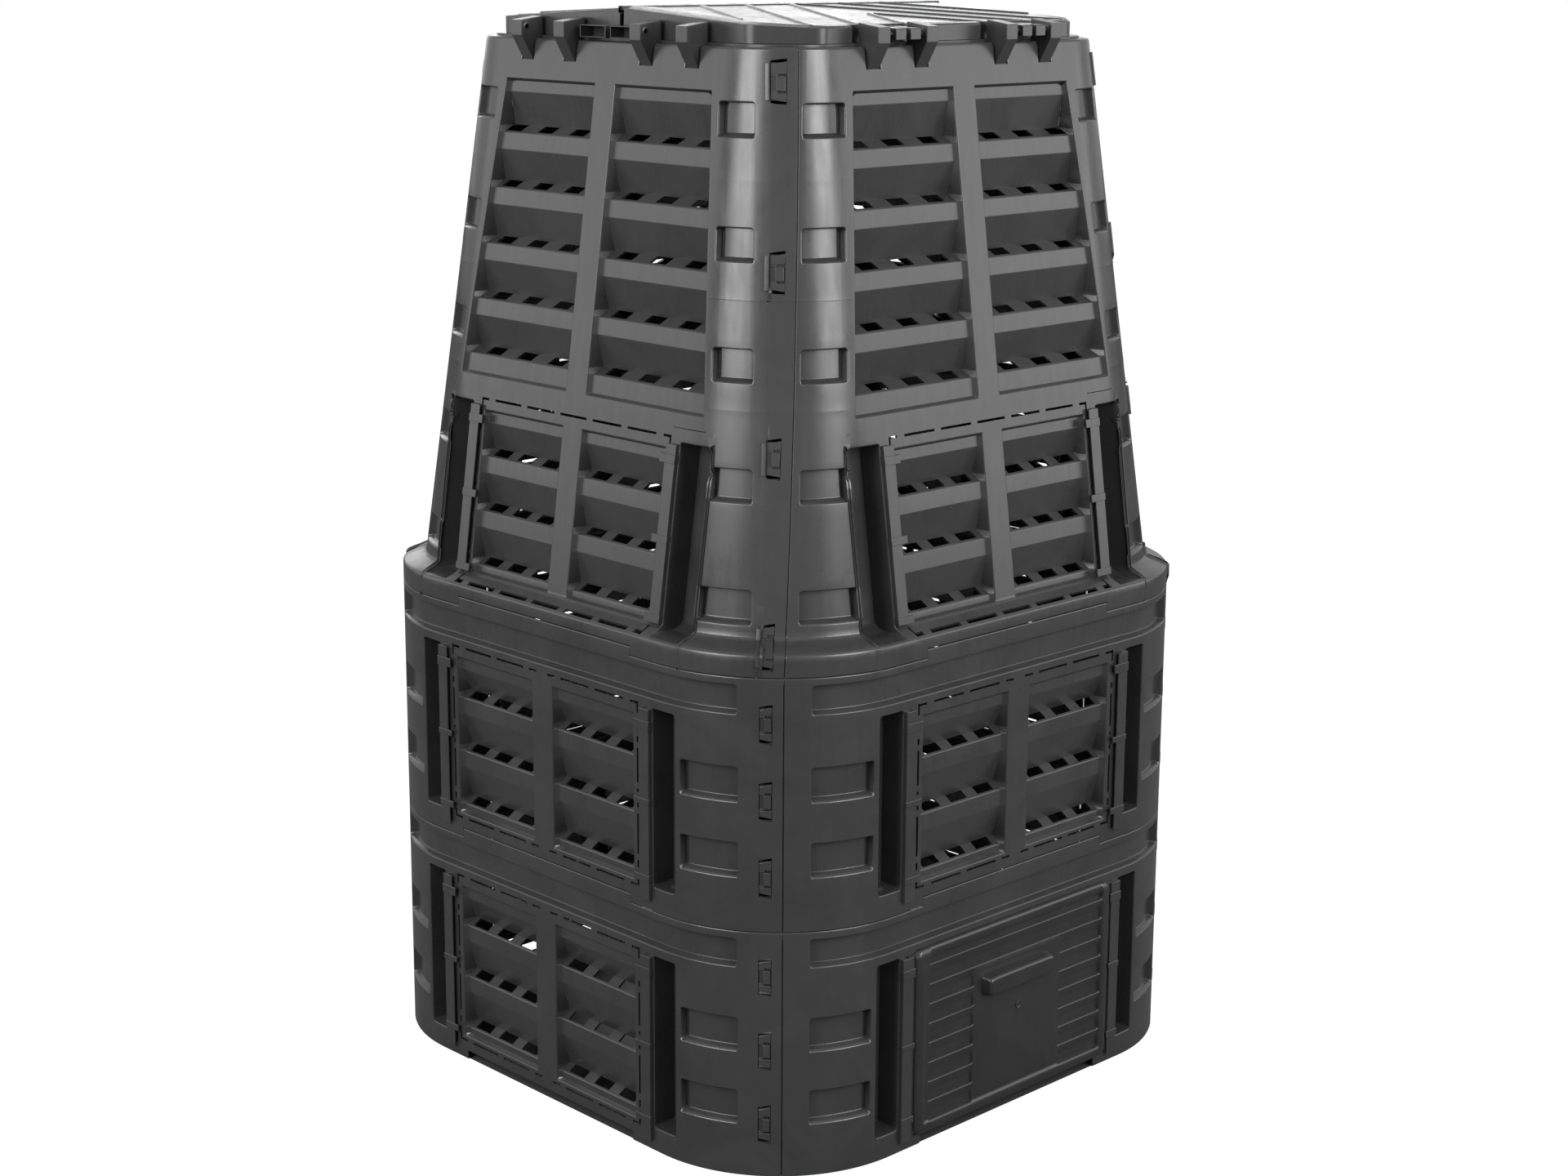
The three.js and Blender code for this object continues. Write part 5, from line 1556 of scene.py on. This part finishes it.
@dataclass
class LidFlap:
    """One of the two lid flaps: a shallow ribbed roof, a skirt, hinge knuckles and finger grips."""

    half: float = 267.0
    reach: float = 272.0
    chamfer: float = 57.0
    corner: float = 27.0
    foot: float = 1271.7
    ridge: float = 1308.2
    slope: float = 3.7
    split: float = 1.5
    ridge_gap: tuple[float, float] = (2.8, 4.8)
    wall: float = 2.4
    roll: float = 2.5
    notch_near: float = 48.5
    notch_far: float = 164.0
    notch_depth: float = 9.2
    band: float = 25.0
    front_band: float = 15.0
    ridge_band: float = 9.0
    sunk: float = 1.3
    sunk_slope: float = 1.2
    side_grooves: tuple[float, ...] = (8.0, 16.0)
    front_groove: float = 11.0
    groove_depth: float = 0.8
    rib_offsets: tuple[float, ...] = (-73.0, 0.0, 73.0, 146.0)
    rib_lean: float = 0.543
    rib_start: float = 9.5
    rib_middle: float = 4.0
    rib_section: tuple[float, float, float] = (6.4, 3.4, 1.9)
    bars: tuple[tuple[float, float, float], ...] = ((-118.0, -90.0, -259.5), (-30.0, 20.0, -262.0),
                                                    (92.0, 120.0, -259.5))
    bar_section: tuple[float, float, float] = (3.0, 2.2, 1.5)
    knuckle: float = 16.5
    knuckle_starts: tuple[float, float] = (-20.0, 3.5)
    grip: tuple[float, float] = (-50.0, -4.0)
    grip_height: float = 14.3
    grip_wall: float = 1.3
    grip_reach: float = 20.0
    skin: Mesher = field(default_factory=Mesher)
    solid: Mesher = field(default_factory=Mesher)

    def roof(self, reach: Array | float) -> Array | float:
        """Height of the roof's plane at a distance from the ridge."""
        return self.ridge - reach * math.tan(math.radians(self.slope))

    def outline(self) -> Array:
        """The flap's outline from the ridge round the right corner: a chamfer between two rounded edges."""
        tangent = self.corner * math.tan(math.pi / 8)
        turn = np.linspace(0, math.pi / 4, 7)
        over, along = self.corner * (1 - np.cos(turn)), self.chamfer + tangent - self.corner * np.sin(turn)
        first = np.stack([self.half - over, -self.reach + along], axis=1)
        last = np.stack([self.half - along, -self.reach + over], axis=1)[::-1]
        return np.concatenate([[(self.half, -self.split)], first, last])

    def width(self, y: Array) -> Array:
        """Half width of the flap at a distance from the ridge."""
        x, reach = self.outline()[::-1].T
        return np.interp(y, reach, x)

    def top(self, x: Array, y: Array) -> Array:
        """Height of the roof's upper face.

        It is the plane, less the quarter round along the rim, two grooves in the band along the gables, one
        along the front, and the sunk field inside the band.

        Args:
            x: places across the flap.
            y: places from the ridge, negative forwards.

        Returns:
            The height at each point.
        """
        width = self.width(y)
        side, front = width - np.abs(x), y + self.reach
        share = side / width * self.half
        tents = [held(1 - np.abs(share - place)) for place in self.side_grooves]
        grooves = self.groove_depth * np.maximum(sum(tents), held(1 - np.abs(front - self.front_groove)))
        inside = np.minimum(np.minimum(share - self.band, front - self.front_band), -y - self.ridge_band)
        return (self.roof(np.abs(y)) - edge_round(np.minimum(side, front), self.roll) - grooves
                - self.sunk * held(inside / self.sunk_slope))

    def model(self) -> None:
        """Builds the flap.

        The roof is a grid whose rows run across and shrink with the outline; its front strip stops at the
        hinge notches.
        """
        notch, start, rolls = -self.reach + self.notch_depth, -self.split, (0.1, 0.7, 1.4, self.roll)
        grooves = [place + t for place in self.side_grooves for t in (-1.0, 0.0, 1.0)]
        fronts = [self.front_groove + t for t in (-1.0, 0.0, 1.0)]
        fronts += [self.front_band, self.front_band + self.sunk_slope]
        ridges = [-self.ridge_band - self.sunk_slope, -self.ridge_band, start - 2.5, start - 1.0]
        marks = [*self.outline()[:, 1], *[t - self.reach for t in fronts], *ridges]
        y = levels(notch, start, marks, TALL_CELL)
        inside = [*rolls, *grooves, self.band, self.band + self.sunk_slope]
        shares = [side * (1 - reach / self.half) for side in ENDS for reach in inside]
        width = self.width(y)
        self.roof_part(y, -width, width, shares, 40)
        y = levels(-self.reach, notch, [t - self.reach for t in rolls], 3)
        width, near, far = self.width(y), np.full_like(y, self.notch_near), np.full_like(y, self.notch_far)
        self.roof_part(y, -near, near, [], 40)
        self.roof_part(y, far, width, [0.98, 0.99, 0.9995], 8)
        self.roof_part(y, -width, -far, [-0.98, -0.99, -0.9995], 8)
        self.skirt()
        self.ribs()
        self.knuckles()
        self.grips()

    def roof_part(self, y: Array, left: Array, right: Array, marks: Sequence[float], step: float) -> None:
        """Adds a part of the roof.

        Args:
            y: distances from the ridge.
            left: left edge at each of them.
            right: right edge at each of them.
            marks: shares of the way from the middle to an edge, negative to the left, that need a line.
            step: widest cell.
        """
        share = levels(-1.0, 1.0, marks, 2 * step / float((right - left).max()))
        x = (left + right) / 2 + (right - left) / 2 * share[:, None]
        yy = np.broadcast_to(y, x.shape)
        self.skin.surface(np.stack([x, yy, self.top(x, yy)], axis=-1))

    def skirt(self) -> None:
        """Adds the skirt and the notch walls: paths carried down from the roof to the foot.

        The skirt starts at the foot of the roof's roll and the notch walls just under the roof. At the ridge
        the left gable wall stops short of the other flap by a gap that widens upwards, and a small wall
        closes it.
        """
        front, notch = -self.reach, -self.reach + self.notch_depth
        near, far = self.notch_near, self.notch_far
        corner = np.concatenate([self.outline(), [(far, front)]])
        wall = np.array([(far, front + 0.2), (far - 0.2, notch + 3.2), (far - 9.0, notch),
                         (near + 9.0, notch), (near + 0.2, notch + 3.2), (near, front + 0.2)])
        middle = np.array([(near, front), (-near, front)])
        mirror = np.array([-1.0, 1.0])
        for path, drop in ((corner, self.roll), (wall, 0.3), (middle, self.roll), (wall[::-1] * mirror, 0.3),
                           (corner[::-1] * mirror, self.roll)):
            x, y = path[::-1, :, None].repeat(4, axis=2).transpose(1, 0, 2)
            share = np.linspace(0, 1, 4)
            z = self.foot + (self.roof(np.abs(y)) - drop - self.foot) * share
            low, high = self.ridge_gap
            at_ridge = (x < -self.half + 1) & (y > -self.split - 1)
            y = y - np.where(at_ridge, low + (high - low) * share, 0)
            self.skin.surface(np.stack([x, y, z], axis=-1))
        x = np.array([[self.half], [-self.half]]).repeat(2, axis=1)
        z = self.roof(self.split) - np.array([[8.0, 0.2]]).repeat(2, axis=0)
        self.skin.surface(np.stack([x, np.full_like(x, -self.split), z], axis=-1))

    def ribs(self) -> None:
        """Adds the chevron ribs, and three short bars in the front band.

        A rib is a bar with sloping sides along |x| = offset + lean * distance from the ridge, from the ridge
        or the middle line to the band.
        """
        side, front = self.half - self.band, self.reach - self.front_band
        for offset in self.rib_offsets:
            start, end = (self.rib_middle - offset) / self.rib_lean, (side - offset) / self.rib_lean
            reaches = (max(self.rib_start, start), min(front, end))
            for turn in ENDS:
                ends = [(turn * (offset + self.rib_lean * reach), -reach) for reach in reaches]
                self.bar(*ends, *self.rib_section)
        for left, right, y in self.bars:
            self.bar((left, y), (right, y), *self.bar_section)

    def bar(self, start: tuple[float, float], end: tuple[float, float], wide: float, crest: float,
            tall: float) -> None:
        """Adds a bar with sloping sides on the roof's field.

        Args:
            start: place of one end.
            end: place of the other end.
            wide: width at the foot.
            crest: width at the top.
            tall: height above the field.
        """
        ends = np.array([start, end])
        along = (ends[1] - ends[0]) / np.linalg.norm(ends[1] - ends[0])
        foot, top = wide / 2, crest / 2
        offset, rise = np.array([
            (-foot, -1.0), (foot, -1.0), (foot, 0.0), (top, tall), (-top, tall), (-foot, 0.0)]).T
        flat = ends[:, None, :] + offset[:, None] * np.array([-along[1], along[0]])
        z = self.roof(np.abs(flat[..., 1])) - self.sunk + rise
        self.solid.solid(np.concatenate([flat, z[..., None]], axis=-1))

    def knuckles(self) -> None:
        """Adds the four hinge knuckles and their arms, outlines of depth and height carried sideways."""
        pin, height, back = -SIZES.pin_reach, SIZES.pin_height, 10 - self.reach
        nose = np.array([
            (pin + 7.2, height - 6.8), (pin - 7.6, height - 6.8), (pin - 7.6, height + 4.5),
            (pin - 6.0, height + 6.0), (back, height + 7.5), (back, height + 2.5), (pin + 7.2, height + 1.5)])
        for side in ENDS:
            for offset in self.knuckle_starts:
                start = side * SIZES.hinge_middle + offset
                self.solid.carried((start, start + self.knuckle), [nose] * 2)

    def grips(self) -> None:
        """Adds the finger grips on both gables: thin boxes that open outwards."""
        (near, far), thick = self.grip, self.grip_wall
        low, high = self.foot, self.foot + self.grip_height
        walls = ((near, far, low, low + thick), (near, far, high - thick, high),
                 (near, near + thick, low + 0.5, high - 0.5), (far - thick, far, low + 0.5, high - 0.5))
        for side in ENDS:
            places = [side * (self.half + x) for x in (-1.0, self.grip_reach)]
            for wall in walls:
                self.solid.carried(places, [rectangle(*wall)] * 2)


@dataclass
class HingePin:
    """A thin hinge pin with conical collars between the knuckles."""

    middle: float
    radius: float = 2.6
    collar: float = 3.0

    def model(self) -> Mesher:
        """Builds the pin: a radius given along the line, swept round it.

        Returns:
            The pin's solid.
        """
        mesher = Mesher()
        marks = np.array([-37.5, -29.0, -24.0, -21.0, -20.5, 20.5, 21.0, 24.0, 29.0, 37.5])
        radii = np.where(np.abs(marks) == 21.0, self.collar, self.radius)[:, None]
        turn = np.linspace(0, 2 * np.pi, 17)[:-1]
        y = -SIZES.pin_reach + radii * np.cos(turn)
        z = SIZES.pin_height + radii * np.sin(turn)
        mesher.carried(self.middle + marks, np.stack([y, z], axis=-1))
        return mesher


@dataclass
class CompostBin:
    """The whole bin: three tiers of panels, the hatch, the lid and its pins."""

    wall: Finish
    lid: Finish
    door: Finish
    pin: Finish
    edges: float = 0.8
    hinge_edges: float = 0.5

    def walls(self) -> None:
        """Builds one panel of each kind and sets it on its sides."""
        for panel, sides in (
                (StraightPanel(Tier.LOWER), (Side.LEFT, Side.BACK, Side.RIGHT)),
                (StraightPanel(Tier.LOWER, hatch=True), (Side.FRONT,)),
                (StraightPanel(Tier.MIDDLE), Side), (TaperedPanel(Tier.UPPER), Side)):
            panel.model()
            for side in sides:
                node = f"{panel.tier.label}_wall_{side.label}"
                panel.shell.add_piece(f"{node}_skin", side, self.wall, "bin", node, wall=SIZES.wall)
                panel.fittings.add_piece(f"{node}_fittings", side, self.wall, "bin", node, edges=self.edges)
                if isinstance(panel, TaperedPanel):
                    panel.hinge_posts.add_piece(f"{node}_hinge_posts", side, self.wall, "bin", node)

    def hatch(self) -> None:
        """Builds the sliding hatch."""
        door, front, node = HatchDoor(), Side.FRONT, "hatch_door"
        door.model()
        door.face.add_piece("hatch_door_face", front, self.door, "hatch", node, wall=door.wall)
        door.body.add_piece("hatch_door_plate", front, self.door, "hatch", node, edges=self.edges)

    def lid_flaps(self) -> None:
        """Builds both lid flaps and their pins."""
        for side in (Side.FRONT, Side.BACK):
            flap, body, node = LidFlap(), f"{side.label}_flap", f"lid_flap_{side.label}"
            flap.model()
            flap.skin.add_piece(f"{node}_roof", side, self.lid, body, node, wall=flap.wall)
            flap.solid.add_piece(f"{node}_hinges", side, self.lid, body, node, edges=self.hinge_edges)
            for end, turn in zip(("left", "right"), ENDS):
                node = f"hinge_pin_{side.label}_{end}"
                pin = HingePin(turn * SIZES.hinge_middle).model()
                pin.add_piece(f"{node}_turned", side, self.pin, "bin", node, weighted=False)

    def pegs(self) -> None:
        """Gives the lock pegs, which keep their solid shape, their finish."""
        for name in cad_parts:
            if name.startswith("lock_peg"):
                node = bpy.data.objects[name]
                node.data.materials.clear()
                node.data.materials.append(self.pin.material)
                LOG.info("%s: kept", name)

    def build(self) -> None:
        """Builds every part of the bin."""
        self.walls()
        self.hatch()
        self.lid_flaps()
        self.pegs()


@dataclass(frozen=True)
class Softbox:
    """A rectangular soft lamp that stands round the bin and looks at its middle.

    The azimuth runs anticlockwise from +X; the camera stands at 226 degrees. The lamp's power is
    brightness * pi * area, so that its face has that brightness.
    """

    name: str
    azimuth: float
    distance: float
    height: float
    width: float
    tall: float
    brightness: float

    def build(self) -> None:
        """Adds the lamp."""
        data = bpy.data.lights.new(self.name, "AREA")
        data.shape, data.size, data.size_y = "RECTANGLE", self.width, self.tall
        data.energy = self.brightness * math.pi * self.width * self.tall
        lamp = bpy.data.objects.new(self.name, data)
        turn = math.radians(self.azimuth)
        lamp.location = Vector((self.distance * math.cos(turn), self.distance * math.sin(turn), self.height))
        lamp.rotation_mode = "QUATERNION"
        lamp.rotation_quaternion = (Vector((0, 0, 0.7)) - lamp.location).to_track_quat("-Z", "Y")
        bpy.context.scene.collection.objects.link(lamp)


@dataclass(frozen=True)
class Studio:
    """A pale floor, a white surround and softboxes."""

    # Each with its azimuth, distance, height, width, tallness and brightness.
    softboxes: tuple[Softbox, ...] = (
        Softbox("left_key", 181.0, 3.9, 2.35, 2.0, 2.4, 11.5),
        Softbox("left_fill", 134.0, 4.2, 1.5, 2.6, 2.4, 1.5),
        Softbox("right_key", 273.5, 3.9, 2.35, 1.7, 2.4, 13.0),
        Softbox("right_fill", 316.0, 4.2, 1.5, 3.0, 2.4, 2.3),
        Softbox("rear_low", 57.0, 4.5, 1.9, 3.4, 1.4, 2.3),
    )
    ambient: float = 0.8
    floor_glow: float = 0.8
    # The faint glow at the middle of the dark face under the bin: painted light for the light that falls in
    # through the slots.
    under_bin_painted_light: float = 0.11
    floor_inset: float = 2.5
    floor_spread: float = 75.0
    outline_points: int = 48

    def build(self) -> None:
        """Builds the floor, the surround and the lamps."""
        self.floor()
        self.surround()
        for softbox in self.softboxes:
            softbox.build()

    def floor(self) -> None:
        """Adds the floor: paint that the camera sees as near white with the bin's shadow on it.

        The part under the bin, where no light falls, is a face of its own with plain dark paint: painted
        shade. A faint glow towards its middle is painted light, for the light that falls in through the
        slots. Its outline is the bin's own rounded square, a little inside the walls' faces, and the floor
        lies between that outline and one that is larger by the spread.
        """
        count = self.outline_points
        turn = (np.arange(count) + 0.5) * 2 * np.pi / count
        x, y = (SIZES.axis * np.sign(part) + (SIZES.radius - self.floor_inset) * part
                for part in (np.cos(turn), np.sin(turn)))
        inner = np.stack([x, y + SIZES.shift_y, np.zeros_like(x)], axis=1) * MM
        index = np.arange(count)
        after = np.roll(index, -1)
        ring = np.stack([index, index + count, after + count, after], axis=1)
        mesh = bpy.data.meshes.new("studio_floor")
        points = np.concatenate([inner, inner * self.floor_spread])
        mesh.from_pydata(points.tolist(), [], [*ring.tolist(), index.tolist()])
        floor = bpy.data.objects.new("studio_floor", mesh)
        bpy.context.scene.collection.objects.link(floor)
        mesh.materials.append(self.paint("matt_floor_paint", "8c8c8c", "686868", self.floor_glow))
        # The face under the bin: plain dark paint as painted shade, with a faint painted light at its middle for
        # the light that falls in through the slots.
        mesh.materials.append(
            self.paint("matt_floor_paint_under_bin", "3c3c3c", "3c3c3c", self.under_bin_painted_light, 0.3, 0.12))
        mesh.polygons[len(ring)].material_index = 1

    @staticmethod
    def paint(name: str, seen: str, unseen: str, glow: float, edge_m: float = 0.0,
              full_m: float = 0.0) -> bpy.types.Material:
        """Makes a matt paint.

        Args:
            name: the material's name.
            seen: its colour for the camera, as sRGB hex.
            unseen: its colour in the object's gloss and for the light that it throws back.
            glow: the white that the camera sees on top, so that the floor reaches the photo's white; on the
            face under the bin, a faint painted light.
            edge_m: distance from the middle at which the glow starts, and 0 where it is even.
            full_m: distance from the middle at which the glow is full.

        Returns:
            The material.
        """
        material = bpy.data.materials.new(name)
        tree = empty_tree(material)
        dark, pale = (add_node(tree, "BsdfDiffuse", {"Color": linear(code)}) for code in (unseen, seen))
        lit = add_node(tree, "Emission", {"Color": linear("ffffff"), "Strength": glow})
        if edge_m:
            place = add_node(tree, "TexCoord").outputs["Object"]
            reach = add_node(tree, "VectorMath", {"operation": "LENGTH"}, {"Vector": place})
            fade = add_node(tree, "MapRange", {"From Min": edge_m, "From Max": full_m, "To Max": glow},
                            {"Value": reach.outputs["Value"]})
            tree.links.new(fade.outputs["Result"], lit.inputs["Strength"])
        both = add_node(tree, "AddShader", links={0: pale.outputs["BSDF"], 1: lit.outputs["Emission"]})
        Studio.by_ray(tree, dark.outputs["BSDF"], both.outputs["Shader"], "OutputMaterial")
        return material

    @staticmethod
    def by_ray(tree: bpy.types.NodeTree, unseen: bpy.types.NodeSocket, seen: bpy.types.NodeSocket,
               output: str) -> None:
        """Shows the camera one shader and everything else another.

        Args:
            tree: the node tree.
            unseen: the shader for light and gloss.
            seen: the shader for the camera.
            output: the kind of the output node.
        """
        ray = add_node(tree, "LightPath").outputs["Is Camera Ray"]
        mixed = add_node(tree, "MixShader", links={"Fac": ray, 1: unseen, 2: seen})
        add_node(tree, output, links={"Surface": mixed.outputs["Shader"]})

    def surround(self) -> None:
        """Makes the world white where the camera sees it, and a soft grey light elsewhere."""
        world = bpy.data.worlds.new("studio")
        bpy.context.scene.world = world
        tree = empty_tree(world)
        light, white = (
            add_node(tree, "Background", {"Color": linear("ffffff"), "Strength": strength})
            for strength in (self.ambient, 1.0))
        self.by_ray(tree, light.outputs["Background"], white.outputs["Background"], "OutputWorld")


@dataclass(frozen=True)
class PhotoCamera:
    """The camera at the photograph's place and angle."""

    place: tuple[float, float, float] = (-2.28269, -2.35176, 1.38043)
    yaw: float = 45.957
    pitch: float = -12.374
    roll: float = 0.3007
    lens: float = 60.763
    shift_y: float = -80 / 1920

    def build(self) -> None:
        """Makes the camera and sets it as the scene's."""
        data = bpy.data.cameras.new("photo_camera")
        data.sensor_width, data.lens, data.shift_y, data.clip_end = 36.0, self.lens, self.shift_y, 200.0
        camera = bpy.data.objects.new("photo_camera", data)
        turn = (Matrix.Rotation(math.radians(self.yaw - 90), 4, "Z")
                @ Matrix.Rotation(math.radians(90 + self.pitch), 4, "X")
                @ Matrix.Rotation(math.radians(self.roll), 4, "Z"))
        camera.matrix_world = Matrix.Translation(self.place) @ turn
        bpy.context.scene.collection.objects.link(camera)
        bpy.context.scene.camera = camera


def main() -> None:
    """Builds the bin, the studio and the camera."""
    logging.basicConfig(level=logging.INFO, format="%(message)s")
    plastics = (
        ("wall_plastic", MouldedPlastic("satin_moulded_polypropylene", "272728", "2e2e2f")),
        ("lid_plastic", MouldedPlastic("satin_lid_polypropylene", "2a2a2b", "313132")),
        ("door_plastic", MouldedPlastic("satin_door_polypropylene", "1b1b1c", "212122", 0.33)),
        ("pin_plastic", MouldedPlastic("satin_pin_polypropylene", "222223", "29292a", 0.32)))
    CompostBin(*[Finish(plastic.build(), slot) for slot, plastic in plastics]).build()
    Studio().build()
    PhotoCamera().build()
    bpy.context.scene.view_settings.view_transform = "Standard"
    bpy.context.view_layer.update()


if __name__ == "__main__":
    main()
